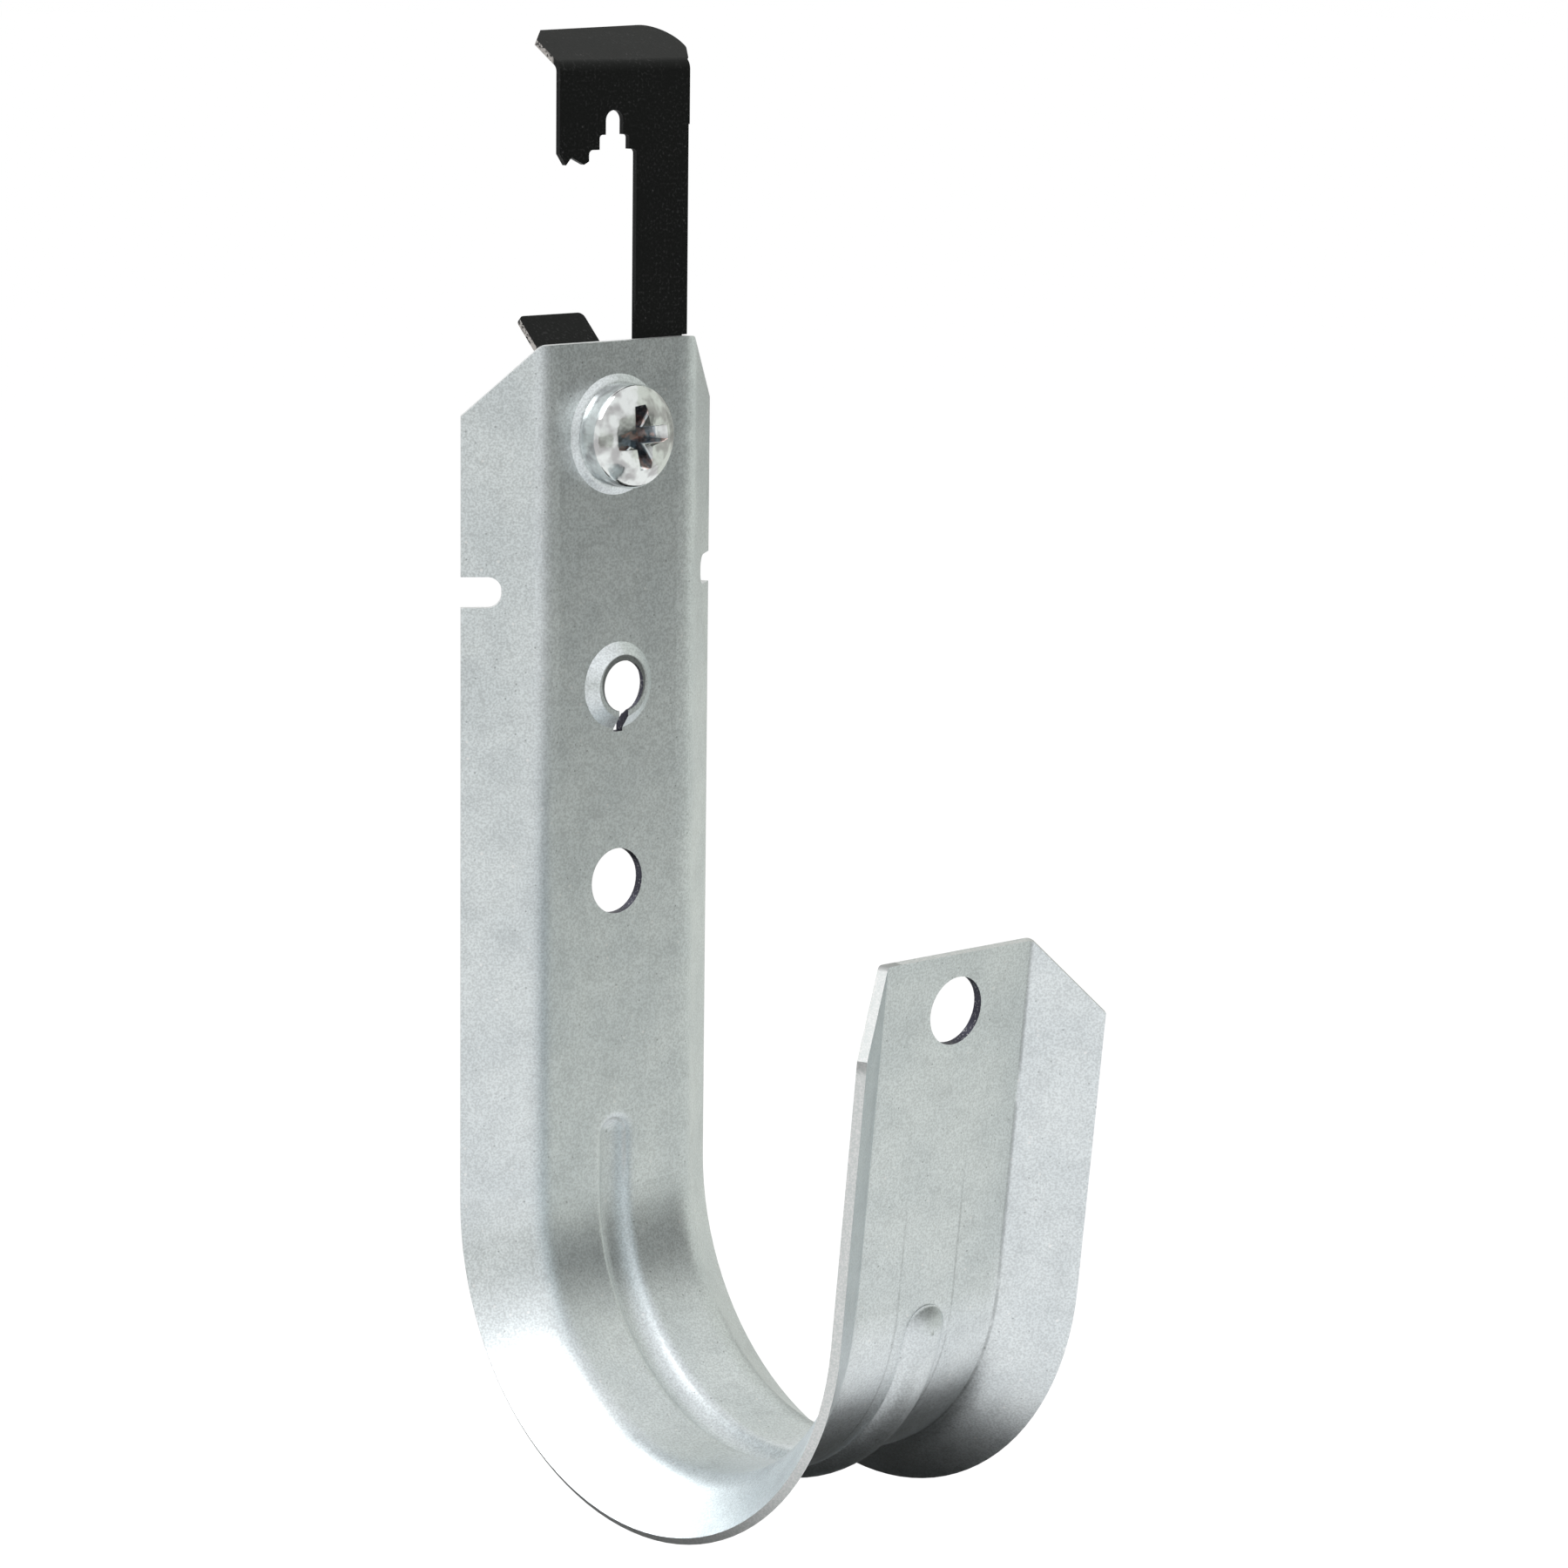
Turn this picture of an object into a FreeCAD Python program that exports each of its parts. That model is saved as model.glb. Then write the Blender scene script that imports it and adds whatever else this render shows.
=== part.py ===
import FreeCAD, Part
import math
import os
import re

import Sketcher
from FreeCAD import Placement, Rotation, Vector

# A J hook that carries a bundle of cables: a pressed steel hook, a spring clip on its back, and a screw.
# Millimetres and degrees. X runs across the hook, +Y away from the cables, towards what carries the
# hook, and +Z up. The origin is the centre of the fixing hole on the back face of the strap.

HOOK_SIZES = {
    "hook_gauge": 1.0,
    "web_width": 21.0,
    "flange_length": 8.7,
    "flange_angle": 36.5,
    "bend_radius": 1.8,
    "loop_radius": 24.0,
    "strap_rise": 58.3,
    "strap_drop": 34.0,
    "leg_length": 37.5,
    "leg_lean": 6.0,
    "cut_width": 8.4,
    "cut_height": 7.4,
    "strap_corner_radius": 1.5,
    "leg_corner_radius": 1.5,
    "fixing_diameter": 7.14,
    "leg_hole_drop": 6.0,
    "notch_drop": 26.0,
    "notch_width": 3.3,
    "notch_depth": 4.3,
}

# The bead is the ridge pressed outwards along the middle of the loop, which stiffens it.
BEAD_SIZES = {
    "bead_radius": 3.2,
    "bead_height": 1.4,
    "bead_foot": 0.3,
    "bead_run": 5.8,
    "bead_stop": 6.5,
}

# The formed thread is a hole whose slit collar is raised towards the cables, to take a screw or rod.
THREAD_SIZES = {
    "thread_height": 21.4,
    "thread_diameter": 5.5,
    "thread_land": 0.4,
    "thread_flare": 0.5,
    "collar_diameter": 9.4,
    "collar_slope": 36.0,
    "collar_rise": 0.95,
    "slit_width": 1.25,
    "slit_reach": 5.05,
}

# The boss is the low round seat under the clip's screw. The shaft has the diameter of its thread's root.
SCREW_SIZES = {
    "screw_side": -0.4,
    "screw_drop": 9.9,
    "screw_diameter": 5.4,
    "screw_core": 4.3,
    "screw_length": 9.5,
    "screw_point": 0.8,
    "screw_clearance": 0.1,
    "boss_hole_clearance": 0.35,
    "boss_base": 12.9,
    "boss_top": 11.3,
    "boss_height": 0.45,
    "boss_round": 1.0,
    "head_diameter": 11.1,
    "head_side": 2.6,
    "head_height": 3.95,
    "head_crown": 6.8,
    "head_edge": 0.9,
    "head_dome": 3.0,
    "recess_across": 7.1,
    "recess_depth": 3.0,
    "recess_arm": 1.5,
    "recess_web": 1.1,
    "recess_floor": 3.4,
    "recess_turn": 7.0,
}

CLIP_SIZES = {
    "clip_gauge": 0.6,
    "clip_inset": 2.26,
    "clip_rise": 29.1,
    "plate_clearance": 0.3,
    "plate_reach": 8.9,
    "plate_corner": 1.5,
    "strap_step": 0.74,
    "strap_width": 7.35,
    "shoulder_gap": 0.1,
    "nick_depth": 0.15,
    "nick_drop": 6.6,
    "jaw_drop": 9.7,
    "jaw_slope": 0.4,
    "tooth_depth": 0.8,
    "tooth_pitch": 2.5,
    "mouth_side": -0.1,
    "mouth_half": 3.5,
    "mouth_drop": 9.0,
    "mouth_corner": 0.5,
    "middle_half": 2.05,
    "middle_drop": 7.45,
    "slot_half": 1.2,
    "slot_drop": 4.9,
    "slot_corner": 1.1,
    "step_corner": 0.4,
    "fold_radius": 0.8,
    "wing_angle": 58.0,
    "wing_length": 6.3,
    "wing_slope": 0.9,
    "wing_step": 0.3,
    "wing_swell": 1.5,
    "wing_waist": 2.0,
    "wing_chamfer": 1.8,
    "wing_corner": 3.6,
    "tab_rise": 5.6,
    "tab_gap": 1.7,
    "tab_angle": 45.0,
    "tab_length": 9.5,
    "tab_corner": 0.7,
}

# Places that more than one feature uses, as expressions of the sizes. WEB_FLAT is half the width of the
# strap's flat back, between the flanges' bends.
WEB_FLAT = "(web_width / 2 - bend_radius * tan(flange_angle / 2))"
SCREW_LEVEL = "(strap_rise - screw_drop)"
CLIP_LEFT = f"({WEB_FLAT} - clip_inset)"
PLATE_RIGHT = f"({WEB_FLAT} - plate_clearance)"
STRAP_RIGHT = f"({PLATE_RIGHT} + strap_step)"
STRAP_LEFT = f"({STRAP_RIGHT} - strap_width)"
HEAD_RIGHT = f"({STRAP_RIGHT} + nick_depth)"
TAB_RIGHT = f"({STRAP_LEFT} - tab_gap)"
CLIP_TOP = "(strap_rise + clip_rise)"
TAB_FOLD = f"({SCREW_LEVEL} + tab_rise)"

# The points of a line or an arc in a sketch.
START, END, CENTRE = range(1, 4)

document = FreeCAD.newDocument("cable_hook")
sheet = document.addObject("Spreadsheet::Sheet", "sizes")


def write_sizes(groups):
    """Put each size in a cell of its own, under its own name."""
    row = 0
    for group in groups:
        for name, number in group.items():
            row += 1
            sheet.set(f"A{row}", name)
            sheet.set(f"B{row}", str(number))
            sheet.setAlias(f"B{row}", name)
    document.recompute()


def cells(expression):
    """Point each size named in an expression at its cell. Every size's name has an underscore."""
    return re.sub(r"\b[a-z]+(?:_[a-z]+)+\b", r"sizes.\g<0>", expression)


def number(expression):
    """The value that an expression of sizes has now."""
    result = sheet.evalExpression(cells(expression))
    return float(getattr(result, "Value", result))


def bind(target, **expressions):
    """Bind settings of an object to expressions of sizes."""
    for setting, expression in expressions.items():
        target.setExpression(setting, cells(expression))


def add_sketch(body, name, role, at=("0", "0", "0"), turn="rotation(vector(0; 0; 1); 0)"):
    """A sketch on one of the body's origin planes, moved to a point of the model and turned there."""
    x, y, z = at
    base = {
        "XY_Plane": (x, y, z),
        "XZ_Plane": (x, z, f"-({y})"),
        "YZ_Plane": (y, z, x),
    }[role]
    sketch = body.newObject("Sketcher::SketchObject", name)
    plane = next(feature for feature in body.Origin.OriginFeatures if feature.Role == role)
    sketch.AttachmentSupport = (plane, [""])
    sketch.MapMode = "FlatFace"
    bind(sketch, AttachmentOffset=f"placement(vector({base[0]}; {base[1]}; {base[2]}); {turn})")
    return sketch


def place(sketch, geometry, position, x, y):
    """Fix a point of a sketch at x, y, given as expressions of sizes."""
    for kind, expression in (("DistanceX", x), ("DistanceY", y)):
        index = sketch.addConstraint(Sketcher.Constraint(kind, -1, 1, geometry, position, number(expression)))
        bind(sketch, **{f"Constraints[{index}]": expression})


def set_radius(sketch, geometry, radius):
    """Give an arc or a circle a radius, an expression of sizes."""
    index = sketch.addConstraint(Sketcher.Constraint("Radius", geometry, number(radius)))
    bind(sketch, **{f"Constraints[{index}]": radius})


def draw_circle(sketch, radius, x="0", y="0"):
    """A circle about x, y."""
    centre = Vector(number(x), number(y), 0)
    circle = sketch.addGeometry(Part.Circle(centre, Vector(0, 0, 1), number(radius)), False)
    place(sketch, circle, CENTRE, x, y)
    set_radius(sketch, circle, radius)


def corner_arc(point, before, after, radius):
    """Where a rounded corner starts and ends, and its centre."""
    back = (before - point).normalize()
    ahead = (after - point).normalize()
    half = back.getAngle(ahead) / 2
    middle = (back + ahead).normalize()
    reach = radius / math.tan(half)
    return point + back * reach, point + ahead * reach, point + middle * (radius / math.sin(half))


def draw_outline(sketch, corners):
    """A closed outline through corners (x, y) or (x, y, rounding radius)."""
    points = [Vector(number(corner[0]), number(corner[1]), 0) for corner in corners]
    arcs = []
    for index, corner in enumerate(corners):
        if len(corner) == 2:
            arcs.append(None)
            continue
        following = points[(index + 1) % len(points)]
        arcs.append(corner_arc(points[index], points[index - 1], following, number(corner[2])))
    lines = []
    for index, point in enumerate(points):
        target = (index + 1) % len(points)
        start = arcs[index][1] if arcs[index] else point
        end = arcs[target][0] if arcs[target] else points[target]
        lines.append(sketch.addGeometry(Part.LineSegment(start, end), False))
    for index, corner in enumerate(corners):
        before, after = lines[index - 1], lines[index]
        if arcs[index] is None:
            sketch.addConstraint(Sketcher.Constraint("Coincident", before, END, after, START))
            place(sketch, after, START, corner[0], corner[1])
            continue
        start, end, centre = arcs[index]
        first = math.atan2(start.y - centre.y, start.x - centre.x)
        last = math.atan2(end.y - centre.y, end.x - centre.x)
        ends = (START, END)
        if (start - centre).cross(end - centre).z < 0:
            first, last = last, first
            ends = (END, START)
        circle = Part.Circle(centre, Vector(0, 0, 1), number(corner[2]))
        arc = sketch.addGeometry(Part.ArcOfCircle(circle, first, last), False)
        sketch.addConstraint(Sketcher.Constraint("Tangent", before, END, arc, ends[0]))
        sketch.addConstraint(Sketcher.Constraint("Tangent", arc, ends[1], after, START))
        set_radius(sketch, arc, corner[2])
        corner_point = sketch.addGeometry(Part.Point(points[index]), True)
        sketch.addConstraint(Sketcher.Constraint("PointOnObject", corner_point, START, before))
        sketch.addConstraint(Sketcher.Constraint("PointOnObject", corner_point, START, after))
        place(sketch, corner_point, START, corner[0], corner[1])


def add_feature(body, kind, name, profile, settings=None, **expressions):
    """A solid feature made from a sketch."""
    feature = body.newObject(f"PartDesign::{kind}", name)
    feature.Profile = profile
    for setting, choice in (settings or {}).items():
        setattr(feature, setting, choice)
    bind(feature, **expressions)
    return feature


def cut_through(body, name, sketch, reach):
    """Cut a sketch's outline out of the sheet, to the same reach on both sides of its plane."""
    return add_feature(body, "Pocket", name, sketch, {"SideType": "Symmetric"}, Length=f"2 * ({reach})")


# The leg's frame: a point at a distance along the leg from the end of the loop, on the cable side.
def on_leg(distance, depth="0"):
    """A point of the leg, as expressions, at a distance up it and a depth out from the cable side."""
    y = f"-hook_gauge - loop_radius - (loop_radius + {depth}) * cos(leg_lean) - ({distance}) * sin(leg_lean)"
    z = f"-strap_drop - (loop_radius + {depth}) * sin(leg_lean) + ({distance}) * cos(leg_lean)"
    return ("0", y, z)


def on_loop(depth="0"):
    """The point of the loop where the bead stops, as expressions, at a depth out from the cable side."""
    y = f"-hook_gauge - loop_radius - (loop_radius + {depth}) * cos(leg_lean + bead_stop)"
    z = f"-strap_drop - (loop_radius + {depth}) * sin(leg_lean + bead_stop)"
    return ("0", y, z)


LEAN = "rotation(vector(1; 0; 0); leg_lean)"
LEG_TURN = "rotation(vector(1; 0; 0); 180 + leg_lean)"
FLARE = "rotation(vector(0; 1; 0); flange_angle)"
LOOP_CENTRE = ("0", "-hook_gauge - loop_radius", "-strap_drop")


def draw_channel_section(sketch, level):
    """The flared channel's section, with the web's cable side at a level of the sketch."""
    edge = ("web_width / 2 + flange_length * cos(flange_angle)", f"{level} + flange_length * sin(flange_angle)")
    outer = (f"{edge[0]} - hook_gauge * sin(flange_angle)", f"{edge[1]} + hook_gauge * cos(flange_angle)")
    fold = ("web_width / 2", level, "bend_radius")
    crease_side = "web_width / 2 - hook_gauge * tan(flange_angle / 2)"
    crease = (crease_side, f"{level} + hook_gauge", "bend_radius - hook_gauge")
    right = [fold, edge, outer, crease]
    left = [(f"-({corner[0]})", *corner[1:]) for corner in reversed(right)]
    draw_outline(sketch, right + left)


def add_channel(body):
    """The flared channel, down the strap, round the loop and up the leg."""
    strap = add_sketch(body, "strap_section", "XY_Plane", at=("0", "0", "strap_rise"))
    draw_channel_section(strap, "-hook_gauge")
    add_feature(body, "Pad", "strap", strap, {"Reversed": True}, Length="strap_rise + strap_drop")
    loop = add_sketch(body, "loop_section", "XY_Plane", at=LOOP_CENTRE)
    draw_channel_section(loop, "loop_radius")
    add_feature(body, "Revolution", "loop", loop, {"ReferenceAxis": (loop, ["H_Axis"]), "Reversed": True},
                Angle="180 - leg_lean")
    leg = add_sketch(body, "leg_section", "XY_Plane", at=on_leg("0"), turn=LEG_TURN)
    draw_channel_section(leg, "0")
    add_feature(body, "Pad", "leg", leg, {"Reversed": True}, Length="leg_length")


def draw_bead_section(sketch, skin, root, base="0", half=False):
    """A half-round ridge with rounded feet, drawn inside the outer skin by the thickness given.

    root is how far the drawing goes past the feet, base the level of the web's outer face in the sketch,
    and half draws one side up to the middle line.
    """
    radius = number(f"bead_radius - {skin}")
    foot = number(f"bead_foot + {skin}")
    level = number(f"{base} - {skin}")
    depth = number(root)
    middle_level = f"{base} + bead_height - bead_radius"
    rise = number(middle_level)
    foot_side = math.sqrt((radius + foot) ** 2 - (level + foot - rise) ** 2)
    foot_centre = Vector(foot_side, level + foot, 0)
    touch_angle = math.atan2(foot_centre.y - rise, foot_side)
    top_start = touch_angle
    top_end = math.pi / 2 if half else math.pi - touch_angle
    crown = sketch.addGeometry(
        Part.ArcOfCircle(Part.Circle(Vector(0, rise, 0), Vector(0, 0, 1), radius), top_start, top_end), False
    )
    sketch.addConstraint(Sketcher.Constraint("PointOnObject", crown, CENTRE, -2))
    index = sketch.addConstraint(Sketcher.Constraint("DistanceY", -1, 1, crown, CENTRE, rise))
    bind(sketch, **{f"Constraints[{index}]": middle_level})
    set_radius(sketch, crown, f"bead_radius - {skin}")
    lower = []
    for side in (1,) if half else (1, -1):
        centre = Vector(side * foot_side, foot_centre.y, 0)
        if side > 0:
            span = (math.pi + touch_angle, 1.5 * math.pi)
        else:
            span = (1.5 * math.pi, 2 * math.pi - touch_angle)
        arc = sketch.addGeometry(Part.ArcOfCircle(Part.Circle(centre, Vector(0, 0, 1), foot), *span), False)
        top, bottom = (START, END) if side > 0 else (END, START)
        sketch.addConstraint(Sketcher.Constraint("Tangent", crown, START if side > 0 else END, arc, top))
        set_radius(sketch, arc, f"bead_foot + {skin}")
        sketch.addConstraint(Sketcher.Constraint("Vertical", arc, CENTRE, arc, bottom))
        index = sketch.addConstraint(Sketcher.Constraint("DistanceY", -1, 1, arc, bottom, level))
        bind(sketch, **{f"Constraints[{index}]": f"{base} - {skin}"})
        wall_top = Vector(centre.x, level, 0)
        wall = sketch.addGeometry(Part.LineSegment(wall_top, wall_top - Vector(0, depth, 0)), False)
        sketch.addConstraint(Sketcher.Constraint("Coincident", arc, bottom, wall, START))
        sketch.addConstraint(Sketcher.Constraint("Vertical", wall))
        lower.append(wall)
    if half:
        middle = sketch.addGeometry(Part.LineSegment(Vector(0, rise + radius, 0), Vector(0, level - depth, 0)), False)
        sketch.addConstraint(Sketcher.Constraint("PointOnObject", crown, END, -2))
        sketch.addConstraint(Sketcher.Constraint("Coincident", crown, END, middle, START))
        sketch.addConstraint(Sketcher.Constraint("Vertical", middle))
        lower.append(middle)
    ends = [sketch.getPoint(line, END) for line in lower]
    floor = sketch.addGeometry(Part.LineSegment(ends[0], ends[1]), False)
    sketch.addConstraint(Sketcher.Constraint("Coincident", floor, START, lower[0], END))
    sketch.addConstraint(Sketcher.Constraint("Coincident", floor, END, lower[1], END))
    sketch.addConstraint(Sketcher.Constraint("Horizontal", floor))
    index = sketch.addConstraint(Sketcher.Constraint("DistanceY", -1, 1, floor, START, level - depth))
    bind(sketch, **{f"Constraints[{index}]": f"{base} - {skin} - {root}"})


def add_bead(body):
    """Press the bead: a ridge on the outside and the matching groove on the cable side."""
    outer_face = "loop_radius + hook_gauge"
    strap_end = ("0", "0", "-strap_drop")
    nose = ("0", "0", "bead_run - strap_drop")
    across_loop = "rotation(vector(1; 0; 0); 180 + leg_lean + bead_stop)"
    forms = (
        ("ridge", "0", "hook_gauge / 2", "Pad", "Revolution"),
        ("groove", "hook_gauge", "hook_gauge", "Pocket", "Groove"),
    )
    for name, skin, root, straight_kind, turn_kind in forms:
        loop = add_sketch(body, f"{name}_loop_section", "XY_Plane", at=LOOP_CENTRE)
        draw_bead_section(loop, skin, root, base=outer_face)
        add_feature(body, turn_kind, f"{name}_loop", loop, {"ReferenceAxis": (loop, ["H_Axis"]), "Reversed": True},
                    Angle="180 - leg_lean - bead_stop")
        run = add_sketch(body, f"{name}_run_section", "XY_Plane", at=strap_end)
        draw_bead_section(run, skin, root)
        add_feature(body, straight_kind, f"{name}_run", run, {"Reversed": straight_kind == "Pocket"},
                    Length="bead_run")
        upper = add_sketch(body, f"{name}_upper_end", "XY_Plane", at=nose)
        draw_bead_section(upper, skin, root, half=True)
        add_feature(body, turn_kind, f"{name}_upper_nose", upper,
                    {"ReferenceAxis": (upper, ["V_Axis"]), "Angle": 180.0, "Reversed": True})
        lower = add_sketch(body, f"{name}_lower_end", "XY_Plane", at=on_loop("hook_gauge"), turn=across_loop)
        draw_bead_section(lower, skin, root, half=True)
        add_feature(body, turn_kind, f"{name}_lower_nose", lower,
                    {"ReferenceAxis": (lower, ["V_Axis"]), "Angle": 180.0})


def add_round_form(body, name, kind, at, corners):
    """Turn a profile of corners (y, radius) about an axis square to the web."""
    sketch = add_sketch(body, f"{name}_profile", "YZ_Plane", at=at)
    draw_outline(sketch, corners)
    return add_feature(body, kind, name, sketch, {"ReferenceAxis": (sketch, ["H_Axis"]), "Angle": 360.0})


def add_screw_boss(body):
    """The low seat of the clip's screw, raised on the cable side and hollow behind."""
    at = ("screw_side", "0", SCREW_LEVEL)
    front = "-hook_gauge - boss_height"
    add_round_form(body, "boss", "Revolution", at, [
        ("-hook_gauge / 2", "0"),
        (front, "0"),
        (front, "boss_top / 2", "boss_round"),
        ("-hook_gauge", "boss_base / 2"),
        ("-hook_gauge / 2", "boss_base / 2"),
    ])
    add_round_form(body, "boss_hollow", "Groove", at, [
        ("hook_gauge", "0"),
        ("-boss_height", "0"),
        ("-boss_height", "boss_top / 2"),
        ("0", "boss_base / 2"),
        ("hook_gauge", "boss_base / 2"),
    ])
    hole = add_sketch(body, "boss_hole_outline", "XZ_Plane", at=at)
    draw_circle(hole, "screw_diameter / 2 + boss_hole_clearance")
    cut_through(body, "boss_hole", hole, "2 * hook_gauge + boss_height")


def add_formed_thread(body):
    """The formed thread: a cone of sheet round a hole, with a thin lip, cut by a slit."""
    at = ("0", "0", "thread_height")
    front = "-hook_gauge - collar_rise"
    run = "collar_rise / tan(collar_slope)"
    shift = "hook_gauge * tan(collar_slope / 2)"
    add_round_form(body, "collar", "Revolution", at, [
        ("-hook_gauge / 2", "0"),
        (front, "0"),
        (front, f"collar_diameter / 2 - {run}"),
        ("-hook_gauge", "collar_diameter / 2"),
        ("-hook_gauge / 2", "collar_diameter / 2"),
    ])
    add_round_form(body, "collar_hollow", "Groove", at, [
        ("hook_gauge", "0"),
        ("-collar_rise", "0"),
        ("-collar_rise", f"collar_diameter / 2 - {shift} - {run}"),
        ("0", f"collar_diameter / 2 - {shift}"),
        ("hook_gauge", f"collar_diameter / 2 - {shift}"),
    ])
    lip = f"{front} + thread_land"
    add_round_form(body, "thread_hole", "Groove", at, [
        (f"{front} - hook_gauge", "0"),
        (f"{front} - hook_gauge", "thread_diameter / 2"),
        (lip, "thread_diameter / 2"),
        ("-collar_rise", "thread_diameter / 2 + thread_flare"),
        ("hook_gauge", "thread_diameter / 2 + thread_flare"),
        ("hook_gauge", "0"),
    ])
    reach = "2 * hook_gauge + collar_rise"
    slit = add_sketch(body, "slit_outline", "XZ_Plane", at=at)
    draw_outline(slit, [
        ("-slit_width / 2", "0"),
        ("-slit_width / 2", "-slit_reach"),
        ("slit_width / 2", "-slit_reach"),
        ("slit_width / 2", "0"),
    ])
    cut_through(body, "slit", slit, reach)


def add_hook_holes(body):
    """The fixing hole in the strap and its match near the top of the leg."""
    strap_hole = add_sketch(body, "fixing_hole_outline", "XZ_Plane")
    draw_circle(strap_hole, "fixing_diameter / 2")
    cut_through(body, "fixing_hole", strap_hole, "2 * hook_gauge")
    leg_hole = add_sketch(body, "leg_hole_outline", "XZ_Plane", at=on_leg("leg_length - leg_hole_drop"), turn=LEAN)
    draw_circle(leg_hole, "fixing_diameter / 2")
    cut_through(body, "leg_hole", leg_hole, "2 * hook_gauge")


def draw_corner_cut(sketch, radius):
    """The slanted cut off a flange's upper corner, with the sketch's origin on the fold at the top."""
    over = "hook_gauge"
    slope = "cut_height / cut_width"
    draw_outline(sketch, [
        (f"flange_length - cut_width - {radius}", over),
        (f"flange_length - cut_width - {radius}", "0"),
        ("flange_length - cut_width", "0", radius),
        (f"flange_length + {over}", f"-cut_height - {over} * {slope}"),
        (f"flange_length + {over}", over),
    ])


def trim_flanges(body):
    """Cut the flanges' upper corners and the cable tie notches, on one side, and mirror them."""
    fold = ("web_width / 2", "-hook_gauge")
    strap_corner = add_sketch(body, "strap_corner_outline", "XZ_Plane", at=(*fold, "strap_rise"), turn=FLARE)
    draw_corner_cut(strap_corner, "strap_corner_radius")
    leg_top = on_leg("leg_length")
    leg_corner = add_sketch(body, "leg_corner_outline", "XZ_Plane", at=("web_width / 2", *leg_top[1:]),
                            turn=f"{LEAN} * rotation(vector(0; 1; 0); -flange_angle)")
    draw_corner_cut(leg_corner, "leg_corner_radius")
    notch = add_sketch(body, "notch_outline", "XZ_Plane", at=(*fold, "strap_rise - notch_drop"), turn=FLARE)
    draw_outline(notch, [
        ("flange_length + hook_gauge", "-notch_width / 2"),
        ("flange_length + hook_gauge", "notch_width / 2"),
        ("flange_length - notch_depth", "notch_width / 2", "0.45 * notch_width"),
        ("flange_length - notch_depth", "-notch_width / 2", "0.45 * notch_width"),
    ])
    cuts = [
        cut_through(body, "strap_corner", strap_corner, "2 * hook_gauge"),
        cut_through(body, "leg_corner", leg_corner, "2 * hook_gauge"),
        cut_through(body, "notch", notch, "2 * hook_gauge"),
    ]
    document.recompute()
    mirror = body.newObject("PartDesign::Mirrored", "other_side")
    mirror.Originals = cuts
    plane = next(feature for feature in body.Origin.OriginFeatures if feature.Role == "YZ_Plane")
    mirror.MirrorPlane = (plane, [""])
    body.Tip = mirror


def build_hook():
    """The pressed steel hook."""
    body = document.addObject("PartDesign::Body", "j_hook")
    add_channel(body)
    add_bead(body)
    add_screw_boss(body)
    add_formed_thread(body)
    add_hook_holes(body)
    trim_flanges(body)
    return body


def add_fold(body, name, left, right, height, angle):
    """Fold the clip's sheet backwards about a line across it, from the end of its flat part."""
    section = add_sketch(body, f"{name}_section", "XY_Plane", at=("0", "clip_gauge + fold_radius", height))
    draw_outline(section, [
        (left, "-clip_gauge - fold_radius"),
        (right, "-clip_gauge - fold_radius"),
        (right, "-fold_radius"),
        (left, "-fold_radius"),
    ])
    add_feature(body, "Revolution", name, section, {"ReferenceAxis": (section, ["H_Axis"]), "Reversed": True},
                Angle=angle)


def fold_setback(angle):
    """How far a fold's flat parts end from the sharp corner of its front face."""
    return f"(clip_gauge + fold_radius) * tan({angle} / 2)"


def add_leaf(body, name, height, angle, corners):
    """The flat leaf beyond a fold, drawn on its front face from the end of the fold."""
    y = f"(clip_gauge + fold_radius) * (1 - cos({angle}))"
    z = f"{height} + (clip_gauge + fold_radius) * sin({angle})"
    sketch = add_sketch(body, f"{name}_outline", "XZ_Plane", at=("0", y, z),
                        turn=f"rotation(vector(1; 0; 0); -{angle})")
    draw_outline(sketch, corners)
    add_feature(body, "Pad", name, sketch, {"Reversed": True}, Length="clip_gauge")


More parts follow.
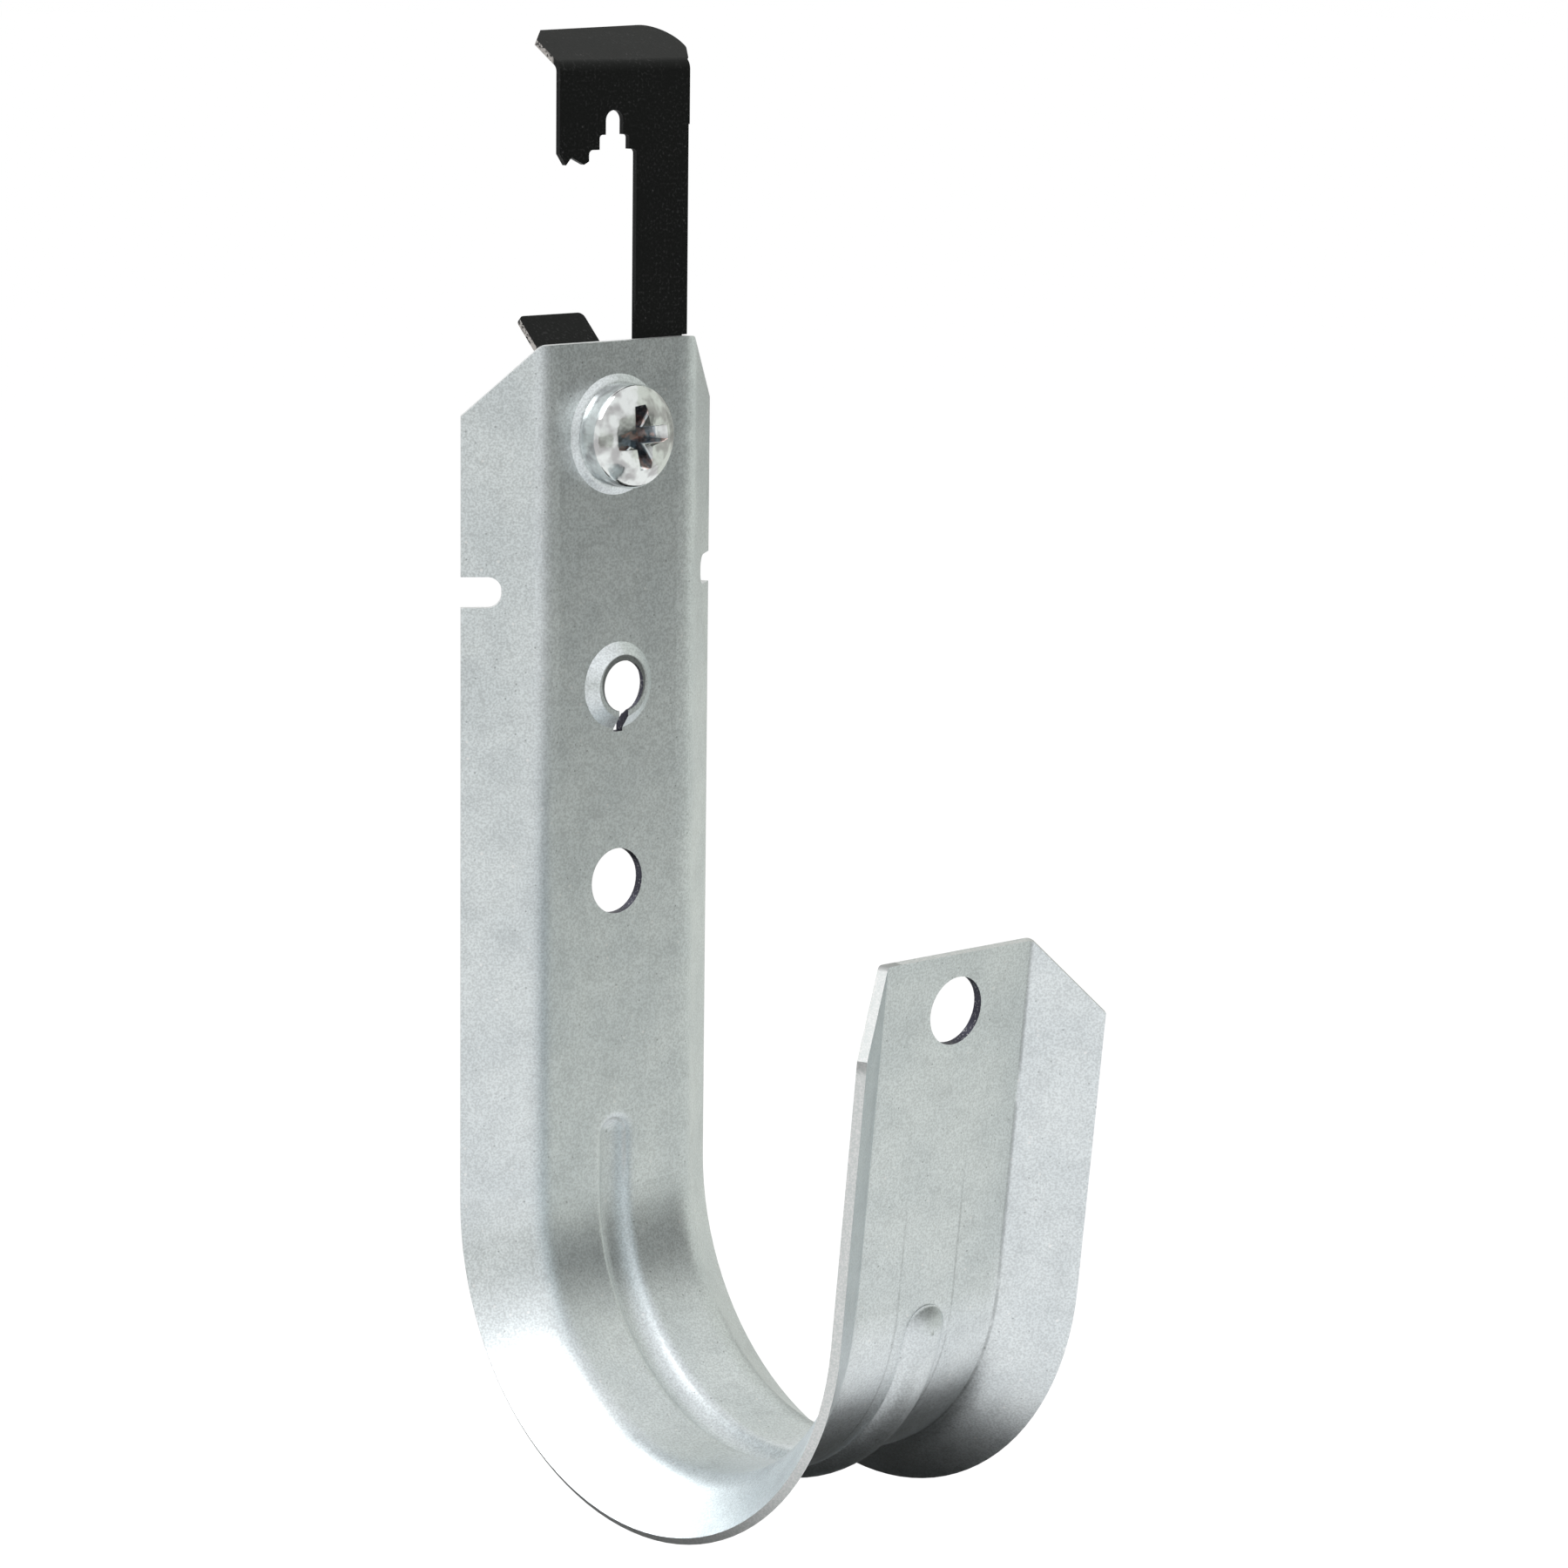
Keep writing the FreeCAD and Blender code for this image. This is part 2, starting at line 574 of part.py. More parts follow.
def build_clip():
    """The spring steel clip: a plate behind the strap, a toothed and notched jaw, a wing and a tab."""
    body = document.addObject("PartDesign::Body", "rod_clip")
    wing_start = f"({CLIP_TOP} - {fold_setback('wing_angle')})"
    tab_start = f"({TAB_FOLD} - {fold_setback('tab_angle')})"
    plate_foot = f"({SCREW_LEVEL} - plate_reach)"
    shoulder = "strap_rise + shoulder_gap"
    jaw = f"{CLIP_TOP} - jaw_drop"
    mouth = f"{CLIP_TOP} - mouth_drop"
    middle = f"{CLIP_TOP} - middle_drop"
    slot = f"{CLIP_TOP} - slot_drop"
    tooth_tip = f"{jaw} - tooth_depth"
    first_tooth = f"(0.35 * tooth_pitch - {CLIP_LEFT})"
    blank = add_sketch(body, "blank_outline", "XZ_Plane")
    draw_outline(blank, [
        (f"-{CLIP_LEFT}", plate_foot, "plate_corner"),
        (PLATE_RIGHT, plate_foot, "plate_corner"),
        (PLATE_RIGHT, shoulder),
        (STRAP_RIGHT, shoulder),
        (STRAP_RIGHT, f"{CLIP_TOP} - nick_drop"),
        (HEAD_RIGHT, f"{CLIP_TOP} - nick_drop"),
        (HEAD_RIGHT, wing_start),
        (f"-{CLIP_LEFT}", wing_start),
        (f"-{CLIP_LEFT}", f"{jaw} + jaw_slope"),
        (first_tooth, tooth_tip),
        (f"{first_tooth} + 0.3 * tooth_pitch", jaw),
        (f"{first_tooth} + tooth_pitch", tooth_tip),
        ("mouth_side - mouth_half", f"{jaw} - 0.6 * tooth_depth"),
        ("mouth_side - mouth_half", mouth, "mouth_corner"),
        ("mouth_side - middle_half", mouth),
        ("mouth_side - middle_half", middle, "step_corner"),
        ("mouth_side - slot_half", middle),
        ("mouth_side - slot_half", slot, "slot_corner"),
        ("mouth_side + slot_half", slot, "slot_corner"),
        ("mouth_side + slot_half", middle),
        ("mouth_side + middle_half", middle, "step_corner"),
        ("mouth_side + middle_half", mouth),
        (STRAP_LEFT, mouth, "mouth_corner"),
        (STRAP_LEFT, tab_start, "tab_gap / 5"),
        (f"-{CLIP_LEFT}", tab_start),
    ])
    add_feature(body, "Pad", "blank", blank, {"Reversed": True}, Length="clip_gauge")
    hole = add_sketch(body, "clip_hole_outline", "XZ_Plane", at=("screw_side", "0", SCREW_LEVEL))
    draw_circle(hole, "screw_diameter / 2 + screw_clearance")
    cut_through(body, "clip_hole", hole, "2 * clip_gauge")
    add_fold(body, "wing_bend", f"-{CLIP_LEFT}", HEAD_RIGHT, wing_start, "wing_angle")
    wing_end = f"wing_length - {fold_setback('wing_angle')}"
    wing_right = f"{HEAD_RIGHT} + wing_swell"
    add_leaf(body, "wing", wing_start, "wing_angle", [
        (f"-{CLIP_LEFT}", "0"),
        (f"{HEAD_RIGHT} + wing_step", "0"),
        (wing_right, "wing_waist", "wing_corner / 3"),
        (wing_right, f"{wing_end} + wing_slope", "wing_corner"),
        (f"-{CLIP_LEFT} + wing_chamfer", wing_end),
        (f"-{CLIP_LEFT}", f"{wing_end} - wing_chamfer"),
    ])
    add_fold(body, "tab_bend", f"-{CLIP_LEFT}", TAB_RIGHT, tab_start, "tab_angle")
    tab_end = f"tab_length - {fold_setback('tab_angle')}"
    add_leaf(body, "tab", tab_start, "tab_angle", [
        (f"-{CLIP_LEFT}", "0"),
        (TAB_RIGHT, "0"),
        (TAB_RIGHT, tab_end, "tab_corner"),
        (f"-{CLIP_LEFT}", tab_end, "tab_corner"),
    ])
    return body


def draw_cross(sketch, across, arm, web):
    """A cross-shaped recess: across its tips, the width of an arm's tip and half the width of its middle."""
    corners = []
    for quarter in range(4):
        cosine = (1, 0, -1, 0)[quarter]
        sine = (0, 1, 0, -1)[quarter]
        for along, side in ((f"({across}) / 2", f"-({arm}) / 2"), (f"({across}) / 2", f"({arm}) / 2"), (web, web)):
            corners.append((f"{cosine} * ({along}) - {sine} * ({side})", f"{sine} * ({along}) + {cosine} * ({side})"))
    draw_outline(sketch, corners)


def build_screw():
    """The pan head screw with a cross recess that holds the clip to the strap."""
    body = document.addObject("PartDesign::Body", "clip_screw")
    at = ("screw_side", "0", SCREW_LEVEL)
    seat = "-hook_gauge - boss_height"
    end = f"{seat} + screw_length"
    add_round_form(body, "pan_head", "Revolution", at, [
        (end, "0"),
        (end, "screw_core / 2 - screw_point"),
        (f"{end} - screw_point", "screw_core / 2"),
        (seat, "screw_core / 2"),
        (seat, "head_diameter / 2"),
        (f"{seat} - head_side", "head_diameter / 2", "head_edge"),
        (f"{seat} - head_height", "head_crown / 2", "head_dome"),
        (f"{seat} - head_height", "0"),
    ])
    twist = "rotation(vector(0; 0; 1); recess_turn)"
    face = f"{seat} - head_height"
    mouth = add_sketch(body, "recess_mouth", "XZ_Plane", at=("screw_side", face, SCREW_LEVEL), turn=twist)
    draw_cross(mouth, "recess_across", "recess_arm", "recess_web")
    floor = add_sketch(body, "recess_base", "XZ_Plane", at=("screw_side", f"{face} + recess_depth", SCREW_LEVEL),
                       turn=twist)
    draw_cross(floor, "recess_floor", "0.6 * recess_arm", "0.6 * recess_web")
    recess = add_feature(body, "SubtractiveLoft", "recess", mouth, {"Ruled": True})
    recess.Sections = [(floor, [""])]
    return body


def check(bodies):
    """Stop if any object failed or any piece isn't one sound solid."""
    for item in document.Objects:
        if {"Invalid", "Error"} & set(item.State):
            raise RuntimeError(f"{item.Name} failed: {item.State}")
    for body in bodies:
        shape = body.Shape
        if shape.isNull() or not shape.isValid() or len(shape.Solids) != 1:
            raise RuntimeError(f"{body.Label} is not one sound solid")


def main():
    """Build the pieces, check them and write one file for each."""
    write_sizes([HOOK_SIZES, BEAD_SIZES, THREAD_SIZES, SCREW_SIZES, CLIP_SIZES])
    bodies = [build_hook(), build_clip(), build_screw()]
    for body in bodies:
        body.Placement = Placement(Vector(0, 0, 0), Rotation())
    document.recompute()
    check(bodies)
    os.makedirs("parts", exist_ok=True)
    for body in bodies:
        body.Shape.exportStep(f"parts/{body.Label}.step")
        box = body.Shape.BoundBox
        print(body.Label, f"{box.XLength:.2f} x {box.YLength:.2f} x {box.ZLength:.2f} mm,",
              f"{body.Shape.Volume:.1f} cubic mm, {len(body.Shape.Faces)} faces")


main()
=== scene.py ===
"""Looks of a J hook for cables: a galvanised hook, a black spring clip and its bright screw."""

import logging
import math
from dataclasses import dataclass, field
from enum import Enum

import bpy
from mathutils import Matrix, Vector


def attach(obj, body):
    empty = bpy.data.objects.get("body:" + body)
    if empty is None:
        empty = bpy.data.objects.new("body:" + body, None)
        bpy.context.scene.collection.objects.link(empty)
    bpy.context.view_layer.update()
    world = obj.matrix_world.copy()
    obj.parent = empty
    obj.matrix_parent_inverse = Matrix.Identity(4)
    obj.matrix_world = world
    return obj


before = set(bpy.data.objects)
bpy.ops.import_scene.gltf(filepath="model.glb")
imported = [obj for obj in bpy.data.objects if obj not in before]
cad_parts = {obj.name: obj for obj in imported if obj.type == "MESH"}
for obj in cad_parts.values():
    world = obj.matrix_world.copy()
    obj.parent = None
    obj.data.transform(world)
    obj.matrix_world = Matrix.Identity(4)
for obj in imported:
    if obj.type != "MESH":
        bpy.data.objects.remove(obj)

Tree = bpy.types.NodeTree
Socket = bpy.types.NodeSocket
Sockets = bpy.types.bpy_prop_collection
Colour = tuple[float, float, float, float]
Triple = tuple[float, float, float]
Span = tuple[float, float]

LOG = logging.getLogger("cable_hook")
MM = 0.001
# The screw's axis, across the hook and above the fixing hole.
SCREW_AXIS: Span = (-0.4 * MM, 48.4 * MM)
# The Mix node's factor, colours and result go by number, because several of its sockets share a name.
MIX_FACTOR = 0
MIX_FIRST = 6
MIX_SECOND = 7
MIX_RESULT = 2


class Piece(Enum):
    """The CAD nodes, by name."""

    HOOK = "j_hook"
    CLIP = "rod_clip"
    SCREW = "clip_screw"


class Kind(Enum):
    """The types of a group's sockets."""

    NUMBER = "NodeSocketFloat"
    VECTOR = "NodeSocketVector"
    SHAPE = "NodeSocketGeometry"


def grey(level: float, warm: float = 0.0) -> Colour:
    """A grey of a linear level, warmer above zero and cooler below it."""
    return (level * (1 + warm), level, level * (1 - warm), 1.0)


@dataclass
class NodeTree:
    """Adds nodes to a tree and joins them. Wherever it takes a value, it takes an output too."""

    tree: Tree

    def add(self, kind: str, **settings: object) -> bpy.types.Node:
        """A new node with some of its settings.

        Args:
            kind: The node's type name.
            settings: Attributes of the node.

        Returns:
            The node.
        """
        node = self.tree.nodes.new(kind)
        for name, value in settings.items():
            setattr(node, name, value)
        return node

    def join(self, source: Socket, target: Socket) -> None:
        """Link an output to an input."""
        self.tree.links.new(source, target)

    def feed(self, socket: Socket, value: object) -> None:
        """Give an input its value.

        Args:
            socket: The input.
            value: An output, which is linked, or a plain value.
        """
        if isinstance(value, bpy.types.NodeSocket):
            self.join(value, socket)
        else:
            socket.default_value = value

    def group(self, tree: Tree, **values: object) -> Sockets:
        """Put a node group in the tree.

        Args:
            tree: The group.
            values: For each named input, its value.

        Returns:
            The group's outputs.
        """
        node = self.add("ShaderNodeGroup", node_tree=tree)
        for name, value in values.items():
            self.feed(node.inputs[name], value)
        return node.outputs

    def surface(self, shader: Socket) -> None:
        """Make a shader the material's surface."""
        self.join(shader, self.tree.nodes["Material Output"].inputs["Surface"])

    def coordinates(self, kind: str) -> Socket:
        """A point's Object or Generated coordinates, or its Normal."""
        return self.add("ShaderNodeTexCoord").outputs[kind]

    def math(self, operation: str, first: object, second: object = 0.0) -> Socket:
        """A sum of one or two values.

        Args:
            operation: The Math node's operation.
            first: The first value.
            second: The second value, where the operation has one.

        Returns:
            The result's output.
        """
        node = self.add("ShaderNodeMath", operation=operation)
        self.feed(node.inputs[0], first)
        self.feed(node.inputs[1], second)
        return node.outputs[0]

    def product(self, first: object, *others: object) -> Socket:
        """Values multiplied with each other, in order.

        Args:
            first: The first value.
            others: At least one more value.

        Returns:
            The result's output.
        """
        result = first
        for value in others:
            result = self.math("MULTIPLY", result, value)
        return result

    def without(self, value: object) -> Socket:
        """1 minus a value."""
        return self.math("SUBTRACT", 1.0, value)

    def off_axis(self, across: Socket, rise: Socket) -> Socket:
        """How far a point is from an axis.

        Args:
            across: How far it is to one side.
            rise: How far it is above.

        Returns:
            The distance's output.
        """
        squares = (self.math("POWER", part, 2.0) for part in (across, rise))
        return self.math("SQRT", self.math("ADD", *squares))

    def vary(self, middle: float, mask: Socket, amount: float) -> Socket:
        """A value that a mask varies about its middle, by an amount in all."""
        return self.math("ADD", self.product(mask, amount), middle - amount / 2)

    def vector(self, operation: str, first: object, second: object = (0.0, 0.0, 0.0)) -> Socket:
        """A sum of one or two vectors.

        Args:
            operation: The Vector Math node's operation.
            first: The first vector.
            second: The second vector, where the operation has one.

        Returns:
            The result's output, which is a number for a dot product.
        """
        node = self.add("ShaderNodeVectorMath", operation=operation)
        self.feed(node.inputs[0], first)
        self.feed(node.inputs[1], second)
        return node.outputs["Value" if operation == "DOT_PRODUCT" else "Vector"]

    def scaled(self, vector: Socket, factor: object) -> Socket:
        """A vector times a value.

        Args:
            vector: The vector.
            factor: The value.

        Returns:
            The result's output.
        """
        node = self.add("ShaderNodeVectorMath", operation="SCALE")
        self.feed(node.inputs["Vector"], vector)
        self.feed(node.inputs["Scale"], factor)
        return node.outputs["Vector"]

    def combine(self, *parts: object) -> Socket:
        """A vector of three values.

        Args:
            parts: The X, Y and Z values.

        Returns:
            The vector's output.
        """
        node = self.add("ShaderNodeCombineXYZ")
        for name, value in zip("XYZ", parts):
            self.feed(node.inputs[name], value)
        return node.outputs["Vector"]

    def split(self, vector: Socket) -> Sockets:
        """The X, Y and Z of a vector.

        Args:
            vector: The vector.

        Returns:
            The outputs, which go by those names.
        """
        node = self.add("ShaderNodeSeparateXYZ")
        self.join(vector, node.inputs["Vector"])
        return node.outputs

    def step(self, value: object, low: float, high: float) -> Socket:
        """A smooth step from 0 at low to 1 at high.

        Args:
            value: The value that the step follows.
            low: Where the step starts.
            high: Where the step ends. It may be lower than low, and the step then falls.

        Returns:
            The step's output.
        """
        node = self.add("ShaderNodeMapRange", interpolation_type="SMOOTHSTEP")
        falls = low > high
        self.feed(node.inputs["Value"], value)
        node.inputs["From Min"].default_value = min(low, high)
        node.inputs["From Max"].default_value = max(low, high)
        node.inputs["To Min"].default_value = 1.0 if falls else 0.0
        node.inputs["To Max"].default_value = 0.0 if falls else 1.0
        return node.outputs["Result"]

    def mix(self, factor: object, first: object, second: object, blend: str = "MIX") -> Socket:
        """A colour between two colours, or a vector between two vectors.

        Args:
            factor: How much of the second there is.
            first: The first colour.
            second: The second colour.
            blend: The Mix node's way to blend.

        Returns:
            The result's output.
        """
        node = self.add("ShaderNodeMix", data_type="RGBA", blend_type=blend)
        self.feed(node.inputs[MIX_FACTOR], factor)
        self.feed(node.inputs[MIX_FIRST], first)
        self.feed(node.inputs[MIX_SECOND], second)
        return node.outputs[MIX_RESULT]

    def tint(self, first: object, second: object, factor: object = 1.0) -> Socket:
        """A colour multiplied by another, as far as the factor says."""
        return self.mix(factor, first, second, "MULTIPLY")

    def noise(self, place: Socket, scale: object, detail: float) -> Socket:
        """Noise over a place.

        Args:
            place: The coordinates.
            scale: How many blotches there are in a metre.
            detail: How many finer layers lie on it.

        Returns:
            The noise's output.
        """
        node = self.add("ShaderNodeTexNoise")
        self.join(place, node.inputs["Vector"])
        self.feed(node.inputs["Scale"], scale)
        node.inputs["Detail"].default_value = detail
        return node.outputs["Fac"]


def new_group(
    name: str, inputs: dict[str, object], outputs: dict[str, Kind], tree_type: str = "ShaderNodeTree"
) -> tuple[NodeTree, Sockets, Sockets]:
    """An empty node group with named sockets.

    Args:
        name: The group's name.
        inputs: For each input, its default: a number, or a tuple for a vector.
        outputs: For each output, its type.
        tree_type: The type of the tree.

    Returns:
        The group's tree, the sockets that bring its inputs, and the sockets that take its outputs.
    """
    tree = bpy.data.node_groups.new(name, tree_type)
    for label, default in inputs.items():
        kind = Kind.VECTOR if isinstance(default, tuple) else Kind.NUMBER
        socket = tree.interface.new_socket(name=label, in_out="INPUT", socket_type=kind.value)
        socket.default_value = default
    for label, kind in outputs.items():
        tree.interface.new_socket(name=label, in_out="OUTPUT", socket_type=kind.value)
    nodes = NodeTree(tree)
    return nodes, nodes.add("NodeGroupInput").outputs, nodes.add("NodeGroupOutput").inputs


@dataclass(frozen=True)
class GrainMasks:
    """The outputs of a grain that lies in a material."""

    specks: Socket
    clouds: Socket
    flecks: Socket


@dataclass(frozen=True)
class Grain:
    """The sizes of a surface's specks, of the soft clouds that vary it, and of its sparse flecks."""

    speck: float = 0.25 * MM
    cloud: float = 9.0 * MM
    fleck: float = 1.2 * MM

    def lay(self, nodes: NodeTree, group: Tree) -> GrainMasks:
        """Put the grain in a material.

        Args:
            nodes: The material's tree.
            group: The grain's node group.

        Returns:
            The grain's masks.
        """
        masks = nodes.group(group, Speck=self.speck, Cloud=self.cloud, Fleck=self.fleck)
        return GrainMasks(specks=masks["Specks"], clouds=masks["Clouds"], flecks=masks["Flecks"])


@dataclass(frozen=True)
class GrainGroup:
    """The node group of a metal surface's fine grain."""

    sizes: Grain = Grain()
    speck_detail: float = 3.0
    cloud_detail: float = 2.0
    fleck_edge: Span = (0.16, 0.08)
    fleck_chance: Span = (0.6, 0.9)

    def build(self) -> Tree:
        """Build the group, which takes sizes and gives masks.

        Returns:
            The group.
        """
        inputs = {"Speck": self.sizes.speck, "Cloud": self.sizes.cloud, "Fleck": self.sizes.fleck}
        outputs = {"Specks": Kind.NUMBER, "Clouds": Kind.NUMBER, "Flecks": Kind.NUMBER}
        nodes, sizes, masks = new_group("surface_grain", inputs, outputs)
        place = nodes.coordinates("Object")
        noises = (("Speck", "Specks", self.speck_detail), ("Cloud", "Clouds", self.cloud_detail))
        for size, mask, detail in noises:
            scale = nodes.math("DIVIDE", 1.0, sizes[size])
            nodes.join(nodes.noise(place, scale, detail), masks[mask])
        cells = nodes.add("ShaderNodeTexVoronoi")
        nodes.join(place, cells.inputs["Vector"])
        nodes.join(nodes.math("DIVIDE", 1.0, sizes["Fleck"]), cells.inputs["Scale"])
        spot = nodes.step(cells.outputs["Distance"], *self.fleck_edge)
        chance = nodes.step(nodes.split(cells.outputs["Color"])["X"], *self.fleck_chance)
        nodes.join(nodes.product(spot, chance), masks["Flecks"])
        return nodes.tree


@dataclass(frozen=True)
class ShearedGroup:
    """The node group that tells a sheet's sheared edges, and its outer face, by where they face."""

    start: float = 0.74
    full: float = 0.66
    outer: Span = (0.5, 0.7)

    def build(self) -> Tree:
        """Build the group, which takes the direction out of the sheet's outer face and gives masks.

        Returns:
            The group.
        """
        inputs = {"Sheet": (0.0, 1.0, 0.0), "Start": self.start, "Full": self.full}
        nodes, given, masks = new_group("sheared_edge", inputs, {"Mask": Kind.NUMBER, "Outer": Kind.NUMBER})
        along = nodes.vector("DOT_PRODUCT", nodes.coordinates("Normal"), given["Sheet"])
        ramp = nodes.add("ShaderNodeMapRange")
        nodes.join(nodes.math("ABSOLUTE", along), ramp.inputs["Value"])
        nodes.join(given["Start"], ramp.inputs["From Min"])
        nodes.join(given["Full"], ramp.inputs["From Max"])
        nodes.join(ramp.outputs["Result"], masks["Mask"])
        nodes.join(nodes.step(along, *self.outer), masks["Outer"])
        return nodes.tree


@dataclass(frozen=True)
class Groups:
    """The node groups that the finishes share."""

    grain: Tree
    sheared: Tree


@dataclass(frozen=True)
class Shades:
    """Two colours, and the span of a mask over which the first turns into the second."""

    first: Colour
    second: Colour
    span: Span

    def lay(self, nodes: NodeTree, mask: Socket) -> Socket:
        """The colour that a mask gives."""
        return nodes.mix(nodes.step(mask, *self.span), self.first, self.second)


@dataclass(frozen=True)
class Relief:
    """How strongly a mask roughens a surface, and how high it stands."""

    strength: float
    height: float

    def lay(self, nodes: NodeTree, mask: Socket, facing: Socket | None = None) -> Socket:
        """Roughen a surface.

        Args:
            nodes: The material's tree.
            mask: What the relief follows.
            facing: The way the surface faces, where that isn't the mesh's own.

        Returns:
            The way the rough surface faces.
        """
        node = nodes.add("ShaderNodeBump")
        node.inputs["Strength"].default_value = self.strength
        node.inputs["Distance"].default_value = self.height
        nodes.join(mask, node.inputs["Height"])
        if facing is not None:
            nodes.join(facing, node.inputs["Normal"])
        return node.outputs["Normal"]


def new_material(name: str) -> tuple[bpy.types.Material, NodeTree, bpy.types.Node]:
    """A new material.

    Args:
        name: The material's name.

    Returns:
        The material, its tree and its main shader.
    """
    material = bpy.data.materials.new(name)
    material.use_nodes = True
    nodes = NodeTree(material.node_tree)
    return material, nodes, material.node_tree.nodes["Principled BSDF"]


@dataclass(frozen=True)
class SheetPlaces:
    """Where a point of the hook's sheet is, as outputs of the material's tree."""

    side: Socket
    depth: Socket
    height: Socket
    on_leg: Socket
    in_loop: Socket
    direction: Socket

    def away(self, nodes: NodeTree, height: float) -> Socket:
        """How far a point is from the sheet's middle line at a height."""
        return nodes.off_axis(self.side, nodes.math("SUBTRACT", self.height, height))


@dataclass(frozen=True)
class Hole:
    """A round hole in the strap or the leg: its height above the loop's centre and its wall's reach."""

    on_leg: bool
    height: float
    reach: float


@dataclass(frozen=True)
class ToolMark:
    """A faint darker line along the leg's outer face.

    It is darkest over a part of its half width, the core, and fades out from a part of its length.
    """

    side: float
    half_width: float
    length: float
    strength: float
    core: float = 0.2
    fade: float = 0.4

    def draw(self, nodes: NodeTree, places: SheetPlaces) -> Socket:
        """How dark the line is.

        Args:
            nodes: The material's tree.
            places: Where the point is.

        Returns:
            The darkness, from 0 to the line's strength.
        """
        off = nodes.math("ABSOLUTE", nodes.math("SUBTRACT", places.side, self.side))
        across = nodes.step(off, self.half_width, self.core * self.half_width)
        along = nodes.step(places.height, self.length, self.fade * self.length)
        return nodes.product(across, self.strength, along)


@dataclass(frozen=True)
class GalvanisedSheet:
    """Zinc-coated sheet: satin blue-grey with a fine grain, bare where sheared, with painted shade in its
    holes' walls, on the leg's upper left cut edge and in a ring at the thread's lip.

    Heights are above the loop's centre, along the strap or the leg. The press leaves no crisp line
    over the folds, between fold_start and fold_end from the middle, nor on the bead, so the surface's
    facing is eased there.
    """

    loop_centre: Span = (-25.0 * MM, -34.0 * MM)
    loop_edge: Span = (4.0 * MM, -1.0 * MM)
    leg_lean: float = math.radians(6.0)
    leg_start: Span = (0.0, 6.0 * MM)
    bead_half: float = 3.6 * MM
    thread_height: float = 55.4 * MM
    holes: tuple[Hole, ...] = (
        Hole(False, 34.0 * MM, 4.4 * MM),
        Hole(False, thread_height, 5.6 * MM),
        Hole(True, 31.5 * MM, 4.4 * MM),
    )
    # A ring of painted shade at the front of the formed thread's lip.
    lip_reach: float = 3.15 * MM
    lip_edge: float = 0.2 * MM
    lip_face: float = -1.8 * MM
    lip_shade_tone: Colour = grey(0.20)
    lip_shade_share: float = 0.8

    flare: float = math.radians(36.5)
    fold_start: float = 8.3 * MM
    fold_end: float = 12.7 * MM
    edge_limit: float = 0.01
    bead_reach: float = 4.6 * MM
    bead_top: float = 10.5 * MM
    bead_side_start: float = 0.85
    bead_top_start: float = 0.9
    bead_ease: float = 0.50

    marks: tuple[ToolMark, ...] = (
        # The first two are lines that the press left; the third darkens the colour along the leg's fold
        # crease.
        ToolMark(-4.3 * MM, 0.22 * MM, 14.0 * MM, 0.28),
        ToolMark(3.5 * MM, 0.22 * MM, 18.0 * MM, 0.30),
        ToolMark(10.1 * MM, 0.32 * MM, 60.0 * MM, 0.45),
    )
    mark_tone: Colour = grey(0.30)
    mark_break: float = 3.0 * MM
    mark_break_detail: float = 2.0
    mark_break_span: Span = (0.25, 0.5)

    grain: Grain = Grain(0.22 * MM, 7.0 * MM, 1.3 * MM)
    zinc: Colour = (0.680, 0.722, 0.738, 1.0)
    speck_shades: Shades = Shades(grey(0.84), grey(1.07), (0.36, 0.64))
    cloud_shades: Shades = Shades(grey(0.955, -0.004), grey(1.03, 0.004), (0.3, 0.7))
    fleck_tone: Colour = grey(0.86)
    fleck_share: float = 0.6
    pits: Grain = Grain(0.5 * MM, 2.5 * MM, 0.85 * MM)
    pit_tone: Colour = grey(0.50)
    pit_share: float = 0.8
    stain_tone: Colour = grey(0.93)
    stain_span: Span = (0.45, 0.75)
    sheared_shades: Shades = Shades((0.52, 0.545, 0.54, 1.0), grey(0.66), (0.35, 0.7))
    # Painted shade: the holes' walls darkened nearly to black, with lighter specks.
    hole_wall_shade: Shades = Shades((0.045, 0.045, 0.06, 1.0), grey(0.4), (0.55, 0.8))
    # Painted shade that dims the leg's upper left cut edge, where the lamp lights it white.
    cut_shade_heights: Span = (28.5 * MM, 29.5 * MM)
    cut_shade_tone: Colour = grey(0.62)

    roughness: float = 0.37
    speck_roughness: float = 0.14
    edge_roughness: float = 0.12
    relief: Relief = Relief(0.08, 0.03 * MM)

    def find(self, nodes: NodeTree) -> SheetPlaces:
        """Work out where a point is on the strap, the loop or the leg, and which way the sheet faces there.

        Args:
            nodes: The material's tree.

        Returns:
            The place, with the direction away from the cables.
        """
        place = nodes.coordinates("Object")
        reach = nodes.vector("SUBTRACT", place, (0.0, *self.loop_centre))
        parts = nodes.split(reach)
        on_leg = nodes.math("LESS_THAN", parts["Y"], 0.0)
        run = nodes.combine(0.0, nodes.product(on_leg, -math.sin(self.leg_lean)), math.cos(self.leg_lean))
        height = nodes.vector("DOT_PRODUCT", reach, run)
        stretch = nodes.scaled(run, nodes.math("MAXIMUM", height, 0.0))
        flat = nodes.vector("MULTIPLY", nodes.vector("SUBTRACT", reach, stretch), (0.0, 1.0, 1.0))
        return SheetPlaces(
            side=parts["X"],
            depth=nodes.split(place)["Y"],
            height=height,
            on_leg=on_leg,
            in_loop=nodes.step(height, *self.loop_edge),
            direction=nodes.vector("NORMALIZE", flat),
        )

    def hole_shade_mask(self, nodes: NodeTree, places: SheetPlaces) -> Socket:
        """Find the holes' sheared walls, which painted shade darkens.

        Args:
            nodes: The material's tree.
            places: Where the point is.

        Returns:
            1 near the holes.
        """
        total: object = 0.0
        for hole in self.holes:
            near = nodes.math("LESS_THAN", places.away(nodes, hole.height), hole.reach)
            part = places.on_leg if hole.on_leg else nodes.without(places.on_leg)
            total = nodes.math("ADD", total, nodes.product(near, part))
        return total

